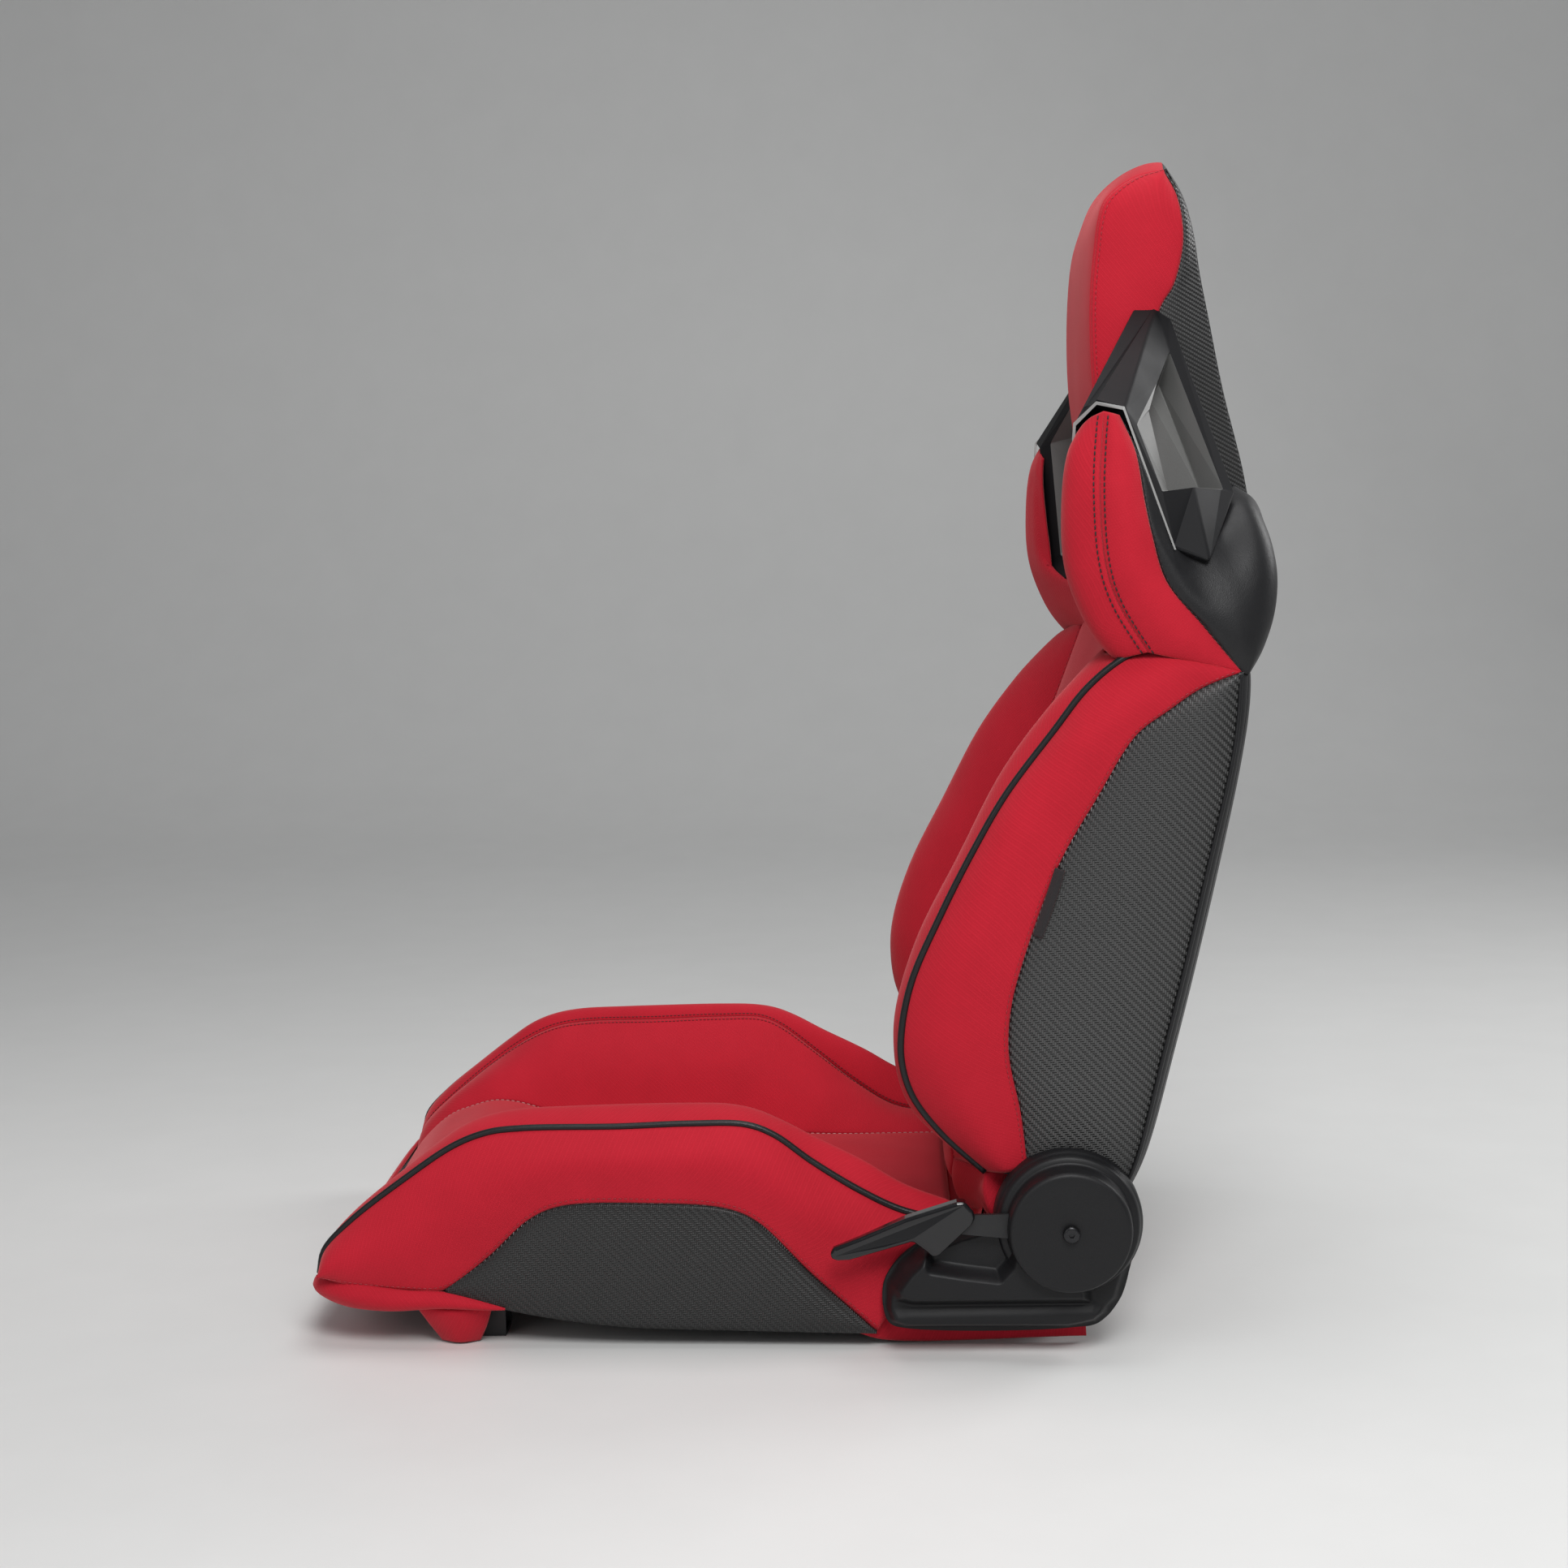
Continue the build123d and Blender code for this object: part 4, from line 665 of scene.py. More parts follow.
# the rear of the cushion is closed by a strip that follows the top panels' rear edges
half_edge = np.concatenate([cushion_top[::-1, -1], cushion_inner[::-1, -1]])
rear_edge = np.concatenate([half_edge, insert_top[1:-1, -1], mirrored(half_edge)[::-1]])
rear_foot = rear_edge * (1, 1, 0) + (0, -2, UNDERSIDE_LEVEL)
rear_wall = smooth(bowed(rear_edge, rear_foot, push=(0, 3, 0)), 12)
rear_wall = puff(rear_wall, INSERT_CORE, 0.8, 0.5, roll=4.0, sewn=(True, True, False, False))
sheet("cushion_rear_wall", rear_wall, INSERT_CORE, RED, BASE)

# a loose flap closes the gap between the cushion and the backrest
FLAP_FRONT, FLAP_REAR = (0, 197, 62), (0, 228, 104)
FLAP_HALF = 212
FLAP_CLOTH = (0, 2, -1)
BELOW_FLAP = (0, 230, 40)


def gap_flap():
    """Doubled cloth from the cushion's rear edge up to the foot of the backrest, bending between them."""
    across = np.linspace(-FLAP_HALF, FLAP_HALF, SEAM_STEPS)[:, None] * (1, 0, 0)
    front = smooth([across + point for point in (FLAP_FRONT, (0, 206, 60), (0, 219, 74), FLAP_REAR)], 16)
    cloth = np.concatenate([front, front[::-1] + FLAP_CLOTH, front[:1]])
    flip = outward(front, BELOW_FLAP) < 0
    points = cloth.reshape(-1, 3)
    piece = mesh_object("gap_flap", points, grid_faces(*cloth.shape[:2], flip), points[:, [0, 2]])
    piece.data.materials.append(RED)
    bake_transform(piece)


gap_flap()

both_lines(tube, "cushion_piping", CUSHION_PIPING + (1.2, 0, -0.4), 2.7, PIPING, BASE)

side_row = row_inside(cushion_side, CUSHION_CORE, 3.5, 0.25, from_last=True)
both_lines(stitches, "cushion_side_stitch", side_row, RED_THREAD, BASE)
insert_row = row_inside(insert_top, INSERT_CORE, 3.0, 0.3)
both_lines(stitches, "cushion_insert_stitch", insert_row, PALE_THREAD, BASE, spacing=5.0, length=3.2)
TOP_STITCHES = (("inner", 3.5, cushion_inner, True), ("outer", 3.0, cushion_top, False))
for label, inset, panel_grid, last in TOP_STITCHES:
    row = row_inside(panel_grid, CUSHION_CORE, inset, 0.25, from_last=last)
    both_lines(stitches, f"cushion_top_stitch_{label}", row, DARK_RED_THREAD, BASE, spacing=3.6, length=2.6)

# ---- backrest ----

# Seams from the seat up to the shoulder, in the side view.
BACK_INSERT_SEAM = seam((138, 140, 145, 150, 152, 150), [
    (207, 122), (205, 160), (210, 200), (221, 246), (246, 320), (278, 400), (308, 462), (328, 516),
    (338, 548)])
BACK_CREST = seam((204, 207, 208, 209, 211, 213), [
    (227, 131), (194, 161), (178, 178), (168, 200), (164, 226), (165, 256), (181, 311), (213, 376),
    (248, 442), (279, 484), (305, 513), (324, 532)])
BACK_PIPING = seam(236, [
    (229, 136), (195, 167), (174, 195), (166, 221), (166, 246), (174, 284), (196, 334), (221, 383),
    (246, 426), (283, 475), (307, 506), (332, 527), (353, 537)])
CARBON_FRONT = seam((252, 256, 257, 257, 254), [
    (260, 143), (255, 185), (246, 232), (248, 268), (258, 306), (284, 376), (312, 425), (342, 473),
    (366, 491), (390, 507), (420, 519)])
CARBON_REAR = seam((252, 253, 253, 252), [
    (333, 126), (343, 150), (364, 235), (379, 297), (397, 377), (411, 439), (417, 475), (420, 519)])
BACK_REAR_EDGE = seam((243, 244, 244, 243), [
    (338, 124), (349, 152), (370, 232), (387, 302), (405, 382), (418, 445), (425, 490), (427, 521)])
BACK_CORE = (205, 300, 300)
BACK_INSERT_CORE = (0, 380, 320)


def roll_under(row):
    """The insert's seam continued round its lower roll, from the seam's lower end."""
    x = row[0, 0]
    roll = [(x, 243, 124), (x, 242, 110), (x, 237, 101), (x, 227, 97), (x, 214, 99), (x, 206, 109)]
    return np.concatenate([smooth(roll + [tuple(row[0])], 40)[:-1], row])


insert_edge = roll_under(BACK_INSERT_SEAM)
hollow = np.interp(np.linspace(0, 1, len(insert_edge)), [0, 0.25, 0.45, 0.8, 1], [0, 3, 5, 12, 8])
back_insert_rows = bowed(insert_edge, mirrored(insert_edge), push=hollow[:, None] * (0, 1, 0))
back_insert = padded(
    back_insert_rows, 56, BACK_INSERT_CORE, 3.0, 4.0, pressure=1.0, slack=0.004, sewn=FIRST_COLUMN_FREE)
sheet("back_insert", back_insert, BACK_INSERT_CORE, RED, BACK, ["back_centre_pad"])

back_front_rows = [
    BACK_INSERT_SEAM,
    between(BACK_INSERT_SEAM, BACK_CREST, 0.45, (-5, 0, 0)),
    BACK_CREST,
    BACK_PIPING,
]
back_front = padded(back_front_rows, 40, BACK_CORE, 2.0, 2.0, sewn=FIRST_COLUMN_FREE)
both(sheet, back_front, BACK_CORE, RED, BACK, name="back_bolster_front", nodes=["back_bolster"])

# below the bolster a skirt carries the cover down and round the bottom of the back
SKIRT_DROPS = [(0, 0, 0), (0, -1, -16), (0, 5, -33), (0, 18, -41), (0, 34, -40)]
SKIRT_CORE = (190, 300, 130)
skirt = smooth([back_front[:, 0] + drop for drop in SKIRT_DROPS], 24)
skirt = puff(skirt, SKIRT_CORE, 1.2, 0.5, roll=4.0, sewn=(True, False, True, True))
both(sheet, skirt, SKIRT_CORE, RED, BACK, name="back_lower_skirt")
cheek = smooth([skirt[:, -1] + turn_in for turn_in in ((0, 0, 0), (-1, 7, 1), (-5, 15, 2))], 12)
both(sheet, cheek, SKIRT_CORE, RED, BACK, name="back_lower_cheek")

back_side = padded(bowed(BACK_PIPING, CARBON_FRONT, 0.45, (9, 0, 0)), 30, BACK_CORE, 2.0, 2.0)
both(sheet, back_side, BACK_CORE, RED, BACK, name="back_side_panel")

# the panel's foot arches over the recliner spring, and the arch fades out within a few steps of the seam
FOOT_ARCH, FOOT_FADE = 16, 6
foot_arch = FOOT_ARCH * np.exp(-np.arange(SEAM_STEPS) / FOOT_FADE)[:, None] * (0, 0, 1)
carbon_side = smooth(bowed(CARBON_FRONT, CARBON_REAR, push=(2, 0, 0) + foot_arch), 40)
carbon_side = puff(carbon_side, BACK_CORE, 1.6, 2.5, roll=5.0)
both(sheet, carbon_side, BACK_CORE, CARBON, BACK, name="back_carbon_panel", uvs=side_uvs(carbon_side))

rear_strip = puff(smooth([CARBON_REAR, BACK_REAR_EDGE], 12), BACK_CORE, 1.0, 1.0, roll=3.0)
both(sheet, rear_strip, BACK_CORE, VINYL, BACK, name="back_edge_strip")
both_lines(tube, "back_piping", BACK_PIPING + (0.8, -0.6, 0.4), 2.8, PIPING, BACK)
both_lines(tube, "back_edge_cord", CARBON_REAR + (1.4, 0, 0), 1.6, PIPING, BACK)

REAR_BORDER = 38
REAR_CORE = (0, 300, 320)
rear_inner = BACK_REAR_EDGE + (-REAR_BORDER, 6, 0)
rear_border = puff(smooth([BACK_REAR_EDGE, rear_inner], 14), REAR_CORE, 1.5, 1.0, roll=5.0)
both(sheet, rear_border, REAR_CORE, VINYL, BACK, name="back_rear_border")
rear_centre = smooth(bowed(rear_inner, mirrored(rear_inner), push=(0, 5, 0)), 60)
rear_centre = puff(rear_centre, REAR_CORE, 1.5, 2.0, roll=5.0)
sheet("back_rear_carbon", rear_centre, REAR_CORE, CARBON, BACK, ["back_rear_panel"],
      uvs=rear_uvs(rear_centre))

side_row = row_inside(back_side, BACK_CORE, 3.2, 0.25, from_last=True)
both_lines(stitches, "back_side_stitch", side_row, RED_THREAD, BACK)
both_lines(stitches, "back_bolster_stitch", row_inside(back_front, BACK_CORE, 4.0, 0.25), RED_THREAD, BACK)

# ---- shoulder wings ----

# Seams from the wing's lower join up to the harness ring.
WING_INNER_EDGE = seam((118, 118, 122, 150, 180, 188, 196, 205), [
    (338, 542), (337, 562), (333, 574), (322, 580), (311, 588), (306, 620), (302, 660), (302, 690)])
WING_FRONT = seam((186, 194, 206, 212, 216), [
    (329, 536), (315, 562), (301, 592), (297, 640), (299, 678), (303, 699)])
WING_CREST = seam((232, 234, 233, 231), [
    (329, 529), (309, 561), (296, 600), (294, 645), (298, 681), (309, 708)])
WING_SEAM = seam((250, 254, 256, 254, 242), [(351, 534), (328, 572), (319, 600), (315, 655), (319, 713)])
VINYL_EDGE = seam((252, 257, 257, 252, 241), [
    (421, 518), (391, 554), (364, 587), (353, 623), (348, 648), (342, 683), (331, 710)])
VINYL_ROW_2 = seam((251, 256, 252, 241), [(422, 518), (404, 553), (387, 585), (373, 620)])
VINYL_ROW_3 = seam((249, 253, 248, 232), [(425, 517), (424, 545), (417, 580), (399, 618)])
WING_REAR_EDGE = seam((243, 237, 233, 231, 229, 222, 207, 190), [
    (427, 516), (437, 537), (444, 560), (446, 583), (444, 600), (438, 620), (427, 638), (410, 645)])
WING_BACK_2 = seam((180, 179, 177, 168), [
    (435, 516), (448, 556), (451, 590), (447, 622), (439, 645), (424, 656)])
WING_BACK_3 = seam((110, 110, 111, 118), [
    (438, 516), (449, 556), (450, 590), (446, 622), (440, 645), (430, 655)])
WING_BACK_4 = seam(0, [(440, 516), (451, 556), (452, 590), (448, 622), (442, 646), (432, 655)])
WING_CORE = (190, 380, 600)

wing_front = padded([WING_INNER_EDGE, WING_FRONT, WING_CREST, WING_SEAM], 40, WING_CORE, 2.0, 2.0)
both(sheet, wing_front, WING_CORE, RED, BACK, name="wing_front", nodes=["shoulder_wing"])

wing_side = padded(bowed(WING_SEAM, VINYL_EDGE, push=(3, 0, 0)), 26, WING_CORE, 2.0, 2.0)
both(sheet, wing_side, WING_CORE, RED, BACK, name="wing_side")

wing_vinyl_rows = [
    VINYL_EDGE, VINYL_ROW_2, VINYL_ROW_3, WING_REAR_EDGE, WING_BACK_2, WING_BACK_3, WING_BACK_4]
wing_vinyl = padded(wing_vinyl_rows, 90, WING_CORE, 1.2, 1.0, pressure=1.0, sewn=LAST_COLUMN_FREE)
both(sheet, wing_vinyl, WING_CORE, VINYL, BACK, name="wing_vinyl")

for label, panel_grid, last in (("front", wing_front, True), ("side", wing_side, False)):
    row = row_inside(panel_grid, WING_CORE, 4.5, 0.3, from_last=last)
    both_lines(stitches, f"wing_{label}_stitch", row, BLACK_THREAD, BACK, spacing=4.6, length=3.4, radius=0.6)
edge_row = row_inside(wing_vinyl, WING_CORE, 3.0, 0.2)
both_lines(stitches, "wing_edge_stitch", edge_row, BLACK_THREAD, BACK, spacing=5.0, length=3.4)

# ---- headrest ----

CROWN_MIDDLE, CROWN_OFF, CROWN_CORNER = (385, 923), (382, 918), (379, 907)
HEAD_MIDDLE = seam(0, [
    (348, 546), (342, 600), (333, 680), (324, 740), (321, 795), (322, 846), (326, 871), (334, 892),
    (350, 908), (368, 918), CROWN_MIDDLE])
HEAD_OFF = seam((62, 62, 62, 60), [
    (346, 546), (341, 600), (331, 680), (322, 740), (320, 795), (322, 844), (327, 870), (335, 889),
    (351, 904), (367, 913), CROWN_OFF])
HEAD_SEAM = seam((117, 113, 111, 110, 108, 98), [
    (338, 546), (336, 600), (329, 680), (323, 740), (321, 790), (322, 820), (325, 850), (327, 866),
    (332, 882), (343, 893), (359, 902), CROWN_CORNER])
HEAD_RED_EDGE = seam((116, 114, 113, 113, 111, 98), [
    (400, 546), (376, 640), (370, 720), (374, 795), (386, 817), (393, 848), (392, 870), (388, 888),
    CROWN_CORNER])
HEAD_REAR_CORNER = seam((108, 107, 106, 105, 98), [
    (446, 640), (439, 676), (424, 734), (414, 785), (406, 825), (400, 861), (393, 885), CROWN_CORNER])
HEAD_REAR_OFF = seam((62, 62, 62, 60), [
    (450, 640), (444, 676), (430, 734), (419, 785), (411, 825), (405, 863), (396, 893), CROWN_OFF])
HEAD_REAR_MIDDLE = seam(0, [
    (452, 640), (446, 676), (432, 734), (421, 785), (413, 825), (407, 863), (398, 896), CROWN_MIDDLE])
HEAD_CORE = (0, 372, 740)
# the carbon-look vinyl is laid at a slant over the flank, which closes up its weave
HEAD_WEAVE = (1.0, 1.8)

head_front_rows = [HEAD_SEAM, HEAD_OFF, HEAD_MIDDLE, mirrored(HEAD_OFF), mirrored(HEAD_SEAM)]
head_front = padded(head_front_rows, 56, HEAD_CORE, 2.0, 2.0, pressure=1.0)
sheet("headrest_front", head_front, HEAD_CORE, RED, BACK, ["headrest_pad"])

head_side = padded(bowed(HEAD_SEAM, HEAD_RED_EDGE, push=(4, 0, 0)), 28, HEAD_CORE, 1.8, 1.5, pressure=1.0)
both(sheet, head_side, HEAD_CORE, RED, BACK, name="headrest_side")

head_flank = smooth(bowed(HEAD_RED_EDGE, HEAD_REAR_CORNER, push=(2, 0, 0)), 26)
head_flank = puff(head_flank, HEAD_CORE, 1.0, 0.5, roll=4.0, sewn=(True, False, True, True))
both(sheet, head_flank, HEAD_CORE, CARBON, BACK, name="headrest_carbon_side",
     uvs=side_uvs(head_flank) * HEAD_WEAVE)
head_rear_rows = [HEAD_REAR_CORNER, HEAD_REAR_OFF, HEAD_REAR_MIDDLE, mirrored(HEAD_REAR_OFF),
                  mirrored(HEAD_REAR_CORNER)]
head_rear = puff(smooth(head_rear_rows, 50), HEAD_CORE, 1.0, 1.0, roll=4.0, sewn=(False, False, True, True))
sheet("headrest_carbon_rear", head_rear, HEAD_CORE, CARBON, BACK, ["headrest_rear_panel"],
      uvs=rear_uvs(head_rear))
both_lines(stitches, "headrest_stitch", row_inside(head_side, HEAD_CORE, 4.0, 0.25), RED_THREAD, BACK)

# ---- harness rings ----

# Corners of the moulding. O is its outer edge at the rear and side, M the crease on the top bar, H the edge
# of the rear opening, G the edge of the front opening and K the outer edge at the front.
RING = {
    "O1": (111, 357, 803), "O2": (229, 299, 706), "O3": (236, 315, 720), "O4": (241, 335, 715),
    "O5": (252, 371, 611), "O6": (252, 397, 601), "O7": (200, 422, 651), "O8": (111, 382, 794),
    "M1": (112, 372, 799),
    "H1": (134, 380, 763), "H2": (180, 365, 736), "H3": (238, 344, 703), "H4": (247, 362, 653),
    "H5": (228, 388, 656), "H6": (203, 413, 654),
    "G1": (126, 344, 768), "G2": (164, 326, 735), "G3": (200, 310, 704), "G4": (186, 318, 602),
    "G5": (158, 327, 594), "G6": (130, 340, 604),
    "K3": (212, 301, 699), "K4": (194, 309, 594), "K5": (158, 320, 583), "K6": (119, 336, 594),
}
RING_FACES = [
    "O1 O2 O3 O4 M1", "M1 O4 H3 H2 H1", "O4 O5 H4 H3", "O5 O6 H5 H4", "O6 O7 H6 H5", "O7 O8 H1 H6",
    "O8 O1 M1", "O8 M1 H1", "O1 G1 G2 G3 K3 O2", "K3 G3 G4 K4", "K4 G4 G5 K5", "K5 G5 G6 K6", "K6 G6 G1 O1",
]
RING_REAR_EDGE = ["O2", "O3", "O4", "O5", "O6", "O7", "O8"]
RING_FRONT_EDGE = ["K3", "K4", "K5", "K6", "O1"]


def faceted(name, corners, faces, material, bevel, nodes=()):
    """Moulding with flat facets and slightly rounded edges, from named corners."""
    names = list(corners)
    points = np.array([corners[key] for key in names], float)
    index = [[names.index(key) for key in face.split()] for face in faces]
    for side, flip in SIDES:
        winding = index if side == "left" else [face[::-1] for face in index]
        piece = mesh_object(f"{side}_{name}", flip(points), winding)
        flat_facets(piece, bevel, segments=3, smallest_angle=12)
        finished(piece, material, BACK, [f"{side}_{node}" for node in nodes])


def sunk(keys, mark, push):
    """Marked copies of ring corners pushed into the seat. Returns the wall faces that lead to them."""
    for key in keys:
        RING[key + mark] = tuple(np.array(RING[key]) + push)
    return [f"{a} {a}{mark} {b}{mark} {b}" for a, b in zip(keys, keys[1:])]


ring_faces = RING_FACES + sunk(RING_REAR_EDGE, "x", (-13, -9, -2)) + sunk(RING_FRONT_EDGE, "y", (3, 12, 0))
# at the tip the wall leans in, so that it stays behind the front face
RING["O2x"] = (216, 306, 694)
faceted("harness_bezel", RING, ring_faces, RING_PLASTIC, 1.6, ["harness_ring"])

# the belt passes through a lined tunnel that narrows behind the rear opening
OPENING_CORNERS = 6
LINER = {f"{loop}{n + 1}": RING[f"{loop}{n + 1}"] for loop in "HG" for n in range(OPENING_CORNERS)}
LINER.update({
    "Q1": (120, 373, 738), "Q2": (160, 361, 724), "Q3": (208, 356, 715), "Q4": (210, 370, 654),
    "Q5": (188, 385, 655), "Q6": (168, 399, 656),
})
loops = [[f"{loop}{n + 1}" for n in range(OPENING_CORNERS)] for loop in "HQG"]
liner_faces = [
    f"{near[k]} {near[k + 1 - OPENING_CORNERS]} {far[k + 1 - OPENING_CORNERS]} {far[k]}"
    for near, far in zip(loops, loops[1:]) for k in range(OPENING_CORNERS)
]
faceted("harness_liner", LINER, liner_faces, LINER_PLASTIC, 0.8)

# a pale strip painted along the bezel's outer edge runs down the front of the wing, over its top and down the side
# of the opening: a painted highlight where the edge catches the light
BEZEL_HIGHLIGHT_CORNERS = {
    "A1": (226, 296, 680), "A2": (230.5, 297.5, 705), "A3": (237, 314, 720.5), "A4": (243, 334.5, 716),
    "A5": (254, 371.5, 610),
    "B1": (225.5, 298.5, 680), "B2": (230, 299.5, 703), "B3": (236.5, 314.5, 718),
    "B4": (243.5, 333.5, 713.5), "B5": (254.5, 370, 610),
}
highlight_faces = [f"A{n} B{n} B{n + 1} A{n + 1}" for n in range(1, 5)]
faceted("harness_edge_highlight", BEZEL_HIGHLIGHT_CORNERS, highlight_faces, EDGE_HIGHLIGHT_PLASTIC, 0.3)

# ---- recliner covers and lever ----


def inside_distance(y, z, corners):
    """Signed distance to a polygon in the side view, positive inside."""
    corners = np.asarray(corners, float)
    nearest = np.full(y.shape, np.inf)
    inside = np.zeros(y.shape, bool)
    for (ay, az), (by, bz) in zip(corners, np.roll(corners, -1, axis=0)):
        side_y, side_z = by - ay, bz - az
        along = np.clip(((y - ay) * side_y + (z - az) * side_z) / (side_y**2 + side_z**2), 0, 1)
        nearest = np.minimum(nearest, np.hypot(y - ay - along * side_y, z - az - along * side_z))
        crosses = (az > z) != (bz > z)
        with np.errstate(divide="ignore", invalid="ignore"):
            inside ^= crosses & (y < side_y * (z - az) / side_z + ay)
    return np.where(inside, nearest, -nearest)


def soft_step(value, low, high):
    """0 below low, 1 above high and a smooth slope between."""
    s = np.clip((value - low) / (high - low), 0, 1)
    return s * s * (3 - 2 * s)


COVER_LINE = [
    (343, 97), (337, 69), (329, 43), (312, 24), (290, 19), (166, 19), (154, 23), (149, 36), (150, 56),
    (160, 72), (176, 85), (206, 97), (236, 106)]
LOBE_LINE = [
    (306, 44), (172, 43), (160, 46), (157, 56), (166, 69), (183, 86), (187, 74), (212, 70), (236, 67),
    (243, 75), (247, 88), (300, 88)]
SKIRT_LINE = [(308, 40), (168, 37), (156, 35), (154, 28), (160, 24), (300, 24), (320, 34)]
COVER_MIDDLE = (262.0, 66.0)
FIRST_RING = 0.01

# heights of the cover's base over the bracket
COVER_EDGE, COVER_FACE = 5, 17
LOBE_RISE, SKIRT_RISE = 14, 4
REAR_LIFT, RIM_LIFT = 5, 9.5


def towards_rear(y):
    """0 over most of the cover and 1 at its rear, which is lifted clear of the tilting backrest."""
    return soft_step(y, 296, 316)


def cover_height(y, z):
    """How far the moulded base of the cover stands out from the bracket."""
    edge = inside_distance(y, z, COVER_LINE)
    lobe = inside_distance(y, z, LOBE_LINE)
    skirt = inside_distance(y, z, SKIRT_LINE)
    low = COVER_EDGE + REAR_LIFT * towards_rear(y)
    height = low + (COVER_FACE - low) * soft_step(edge, 0.5, 8)
    height = height + LOBE_RISE * soft_step(lobe, -3, 7)
    return height + SKIRT_RISE * soft_step(skirt, -5, 7)


def cover_base():
    """Base of the cover as rings from its middle to its outline, with a rim down to the bracket."""
    turns, rings, outline_steps = 420, 90, 600
    middle = np.array(COVER_MIDDLE)
    corners = smooth([(y, z, 0) for y, z in COVER_LINE + COVER_LINE[:1]], outline_steps)[:, :2] - middle
    around = np.unwrap(np.arctan2(corners[:, 1], corners[:, 0]))
    if around[-1] < around[0]:
        corners, around = corners[::-1], around[::-1]
    angle = np.linspace(around[0], around[-1], turns, endpoint=False)
    reach = np.stack([np.interp(angle, around, corners[:, k]) for k in (0, 1)], axis=-1)
    share = np.linspace(FIRST_RING, 1, rings)[:, None, None]
    flat = middle + share * reach[None]
    x = COVER_BACK + cover_height(flat[..., 0], flat[..., 1])
    grid = np.concatenate([x[..., None], flat], axis=-1)
    rim = grid[-1].copy()
    rim[:, 0] = COVER_BACK + RIM_LIFT * towards_rear(rim[:, 1])
    return np.concatenate([grid, rim[None]])


DISC_PROFILE = [
    (0.5, 41.6), (30, 42.0), (41, 42.4), (44.2, 41.9), (45.8, 40.2), (46.4, 37), (47.0, 24.5), (48.0, 22.2),
    (50.5, 21.6), (52.4, 20.8), (53.6, 18.8), (54.6, 15.2), (55.8, 13.4), (56.6, 10.5), (56.8, 0)]
DISC_STEPS = 160


def cover_disc():
    """Round cap over the hinge, turned from its profile of radius and height."""
    corners = np.array(DISC_PROFILE)
    steps = np.arange(0, len(corners) - 0.5, 0.5)
    radius, height = (np.interp(steps, range(len(corners)), corners[:, k])[:, None] for k in (0, 1))
    angle = np.linspace(0, 2 * math.pi, DISC_STEPS, endpoint=False)
    y = PIVOT_Y + radius * np.cos(angle)
    z = PIVOT_Z + radius * np.sin(angle)
    return np.stack(np.broadcast_arrays(COVER_BACK + height, y, z), -1)


def turned(name, grid, inside, material, body, nodes=()):
    """Piece from rings of points that close on themselves, filled at its first ring."""
    rows, columns = grid.shape[:2]
    flip = outward(grid, inside) < 0
    faces = grid_faces(rows, columns, flip, closed=True)
    faces.append(list(range(columns)) if flip else list(range(columns))[::-1])
    finished(mesh_object(name, grid.reshape(-1, 3), faces), material, body, nodes)


COVER_CORE = (COVER_BACK - 40, PIVOT_Y - 20, 70)
both(turned, cover_base(), COVER_CORE, COVER_PLASTIC, BASE, name="cover_base", nodes=["recliner_cover"])
both(turned, cover_disc(), COVER_CORE, COVER_PLASTIC, BASE, name="cover_disc")

GRIP_LOW, GRIP_HIGH = (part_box("lever_grip")[i][0] * METRE for i in (0, 1))
# the grip thins over GRIP_TAPER millimetres in front of its bend
GRIP_BEND, GRIP_TAPER, GRIP_THINNING = 170.0, 60, 3.0
GRIP_ROUNDING = 2.6
GRIP_LINE = [
    (109, 84), (111, 80.5), (115, 79), (124, 79.5), (151, 88), (172, 94.5), (183, 86), (187, 82), (192, 84),
    (216, 107), (219, 112), (217, 118), (211, 125), (205, 124.5), (175, 115), (166, 112), (132, 97),
    (112, 89)]


def lever_grip():
    """Grip as a bevelled plate that is a little thinner at its tip."""
    count = len(GRIP_LINE)
    vertices = []
    for face_x, inwards in ((GRIP_LOW, 1), (GRIP_HIGH, -1)):
        for y, z in GRIP_LINE:
            slim = GRIP_THINNING * soft_step(GRIP_BEND - y, 0, GRIP_TAPER)
            vertices.append((face_x + inwards * slim, y, z))
    faces = [list(range(count)), list(range(2 * count - 1, count - 1, -1))]
    faces += [[(c + 1) % count, c, c + count, (c + 1) % count + count] for c in range(count)]
    piece = mesh_object("lever_grip_moulding", vertices, faces)
    flat_facets(piece, GRIP_ROUNDING, segments=4, smallest_angle=40)
    finished(piece, GLOSS_PLASTIC, LEVER, ["lever_grip"])


lever_grip()

# plain woven tag folded into the seam of the left side panel
tag_seam = smooth([(257.5, 264, 323), (258.5, 273, 349), (258, 281, 374)], 30)
tag = smooth(bowed(tag_seam, tag_seam + (2.5, 7.5, -2.5), 0.6, (1.2, 0, 0)), 12)
sheet("side_tag", tag, BACK_CORE, TAG_CLOTH, BACK, ["seam_tag"], thickness=1.0)

# ---- studio ----

# The floor's profile (x, z) runs from behind the camera, under the seat and up the backdrop, in millimetres.
FLOOR_PROFILE = [(4500, 0), (0, 0), (-2200, 0), (-3000, 120), (-3500, 600), (-3700, 1400), (-3750, 4500)]
FLOOR_HALF = 6000

# camera: its place in metres, its lens in millimetres and its angles in degrees
CAMERA_PLACE = (2.135, 0.150, 0.630)
CAMERA_LENS, CAMERA_SENSOR = 57.82, 36
CAMERA_PITCH, CAMERA_YAW, CAMERA_ROLL = 5.80340, 2.17424, 0.8

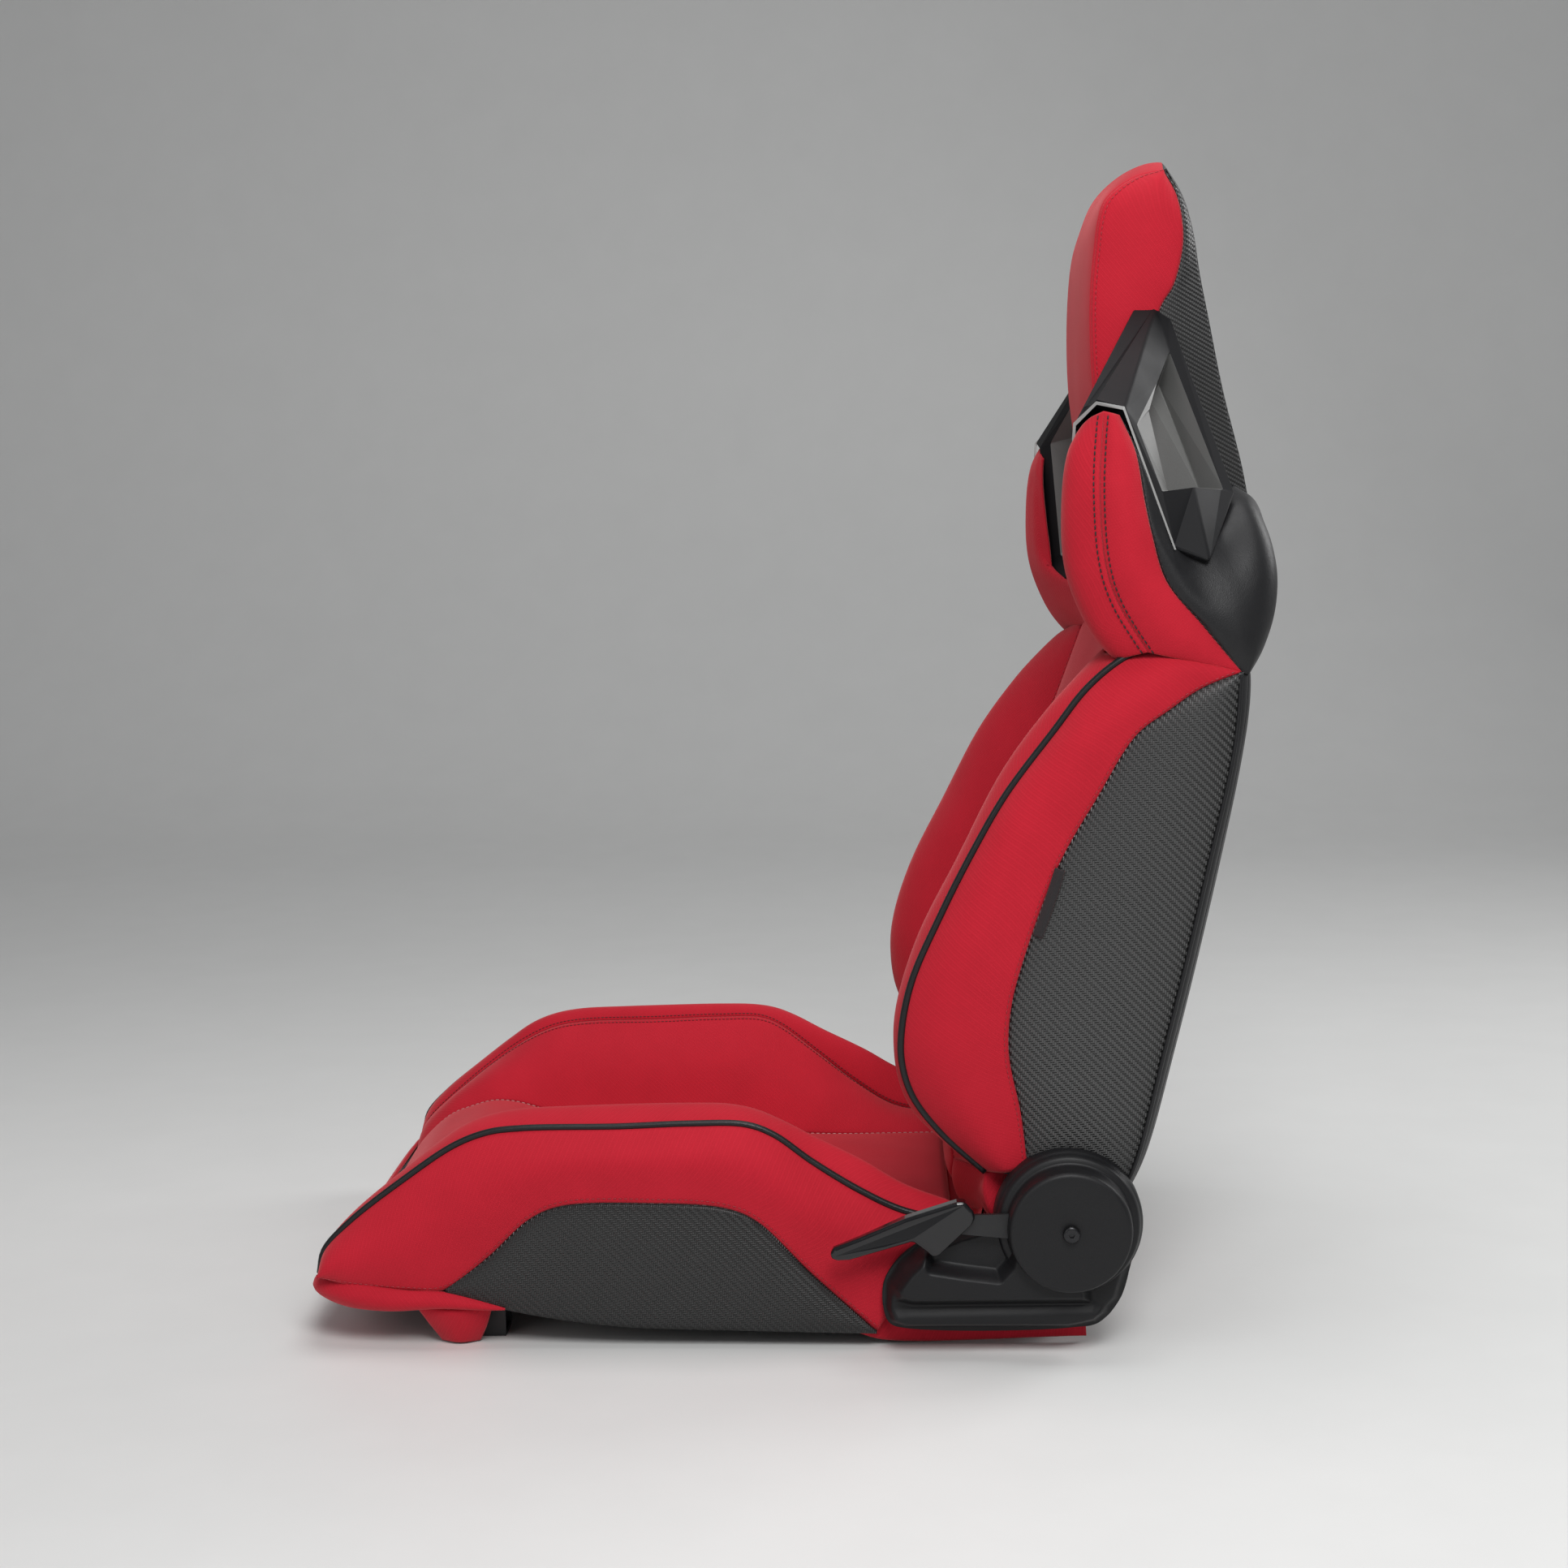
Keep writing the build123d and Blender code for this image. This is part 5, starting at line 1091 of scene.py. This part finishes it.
# lights: name, place and target in metres, size in metres and power in watts
LIGHTS = [
    ("key", (2.1, 0.5, 2.1), (0, 0.15, 0.45), 1.1, 50),
    ("fill", (2.2, -1.5, 1.2), (0, 0.0, 0.3), 1.4, 9),
    ("top", (0.0, 0.2, 2.6), (0, 0.1, 0.3), 1.4, 20),
    ("rim", (-1.0, 2.2, 1.6), (0, 0.2, 0.5), 1.2, 22),
]
SKY_COLOUR, SKY_STRENGTH = (0.9, 0.92, 0.95, 1), 0.2


def studio_floor():
    """Pale floor that curves up into a backdrop behind the seat."""
    s = Shader("pale_studio_floor")
    mottle = s.noise(90.0, detail=4.0)
    s.finish(Base_Color=s.mix(mottle, (0.72, 0.72, 0.71, 1), (0.76, 0.76, 0.75, 1)), Roughness=0.55,
             Normal=s.bump(s.noise(2.0), 0.02))
    line = smooth([(x, 0, z) for x, z in FLOOR_PROFILE], 60)
    grid = np.stack([line + (0, y, 0) for y in np.linspace(-FLOOR_HALF, FLOOR_HALF, 12)])
    floor = mesh_object("studio_floor", grid.reshape(-1, 3), grid_faces(*grid.shape[:2]))
    floor.data.materials.append(s.material)


def area_light(name, place, target, size, power):
    """Soft square light at a place, aimed at a target."""
    lamp = bpy.data.lights.new(name, "AREA")
    lamp.size = size
    lamp.energy = power
    holder = bpy.data.objects.new(name, lamp)
    holder.location = place
    holder.rotation_mode = "QUATERNION"
    holder.rotation_quaternion = (Vector(target) - Vector(place)).to_track_quat("-Z", "Y")
    bpy.context.scene.collection.objects.link(holder)


def studio_camera():
    """Level-eyed camera on the seat's left, a little in front of the hinge and aimed slightly down."""
    pitch, yaw, roll = (math.radians(angle) for angle in (CAMERA_PITCH, CAMERA_YAW, CAMERA_ROLL))
    forward = Vector((-math.cos(pitch) * math.cos(yaw), -math.cos(pitch) * math.sin(yaw), -math.sin(pitch)))
    level = Vector((-math.sin(yaw), math.cos(yaw), 0))
    upward = level.cross(forward)
    right = math.cos(roll) * level - math.sin(roll) * upward
    top = math.sin(roll) * level + math.cos(roll) * upward
    data = bpy.data.cameras.new("studio_camera")
    data.sensor_width = CAMERA_SENSOR
    data.lens = CAMERA_LENS
    holder = bpy.data.objects.new("studio_camera", data)
    turn = Matrix((right, top, -forward)).transposed().to_4x4()
    holder.matrix_world = Matrix.Translation(CAMERA_PLACE) @ turn
    bpy.context.scene.collection.objects.link(holder)
    bpy.context.scene.camera = holder


studio_floor()
for light in LIGHTS:
    area_light(*light)
world = bpy.data.worlds.new("studio_world")
world.use_nodes = True
sky = world.node_tree.nodes["Background"].inputs
sky["Color"].default_value = SKY_COLOUR
sky["Strength"].default_value = SKY_STRENGTH
bpy.context.scene.world = world
studio_camera()
bpy.context.scene.view_settings.view_transform = "Standard"
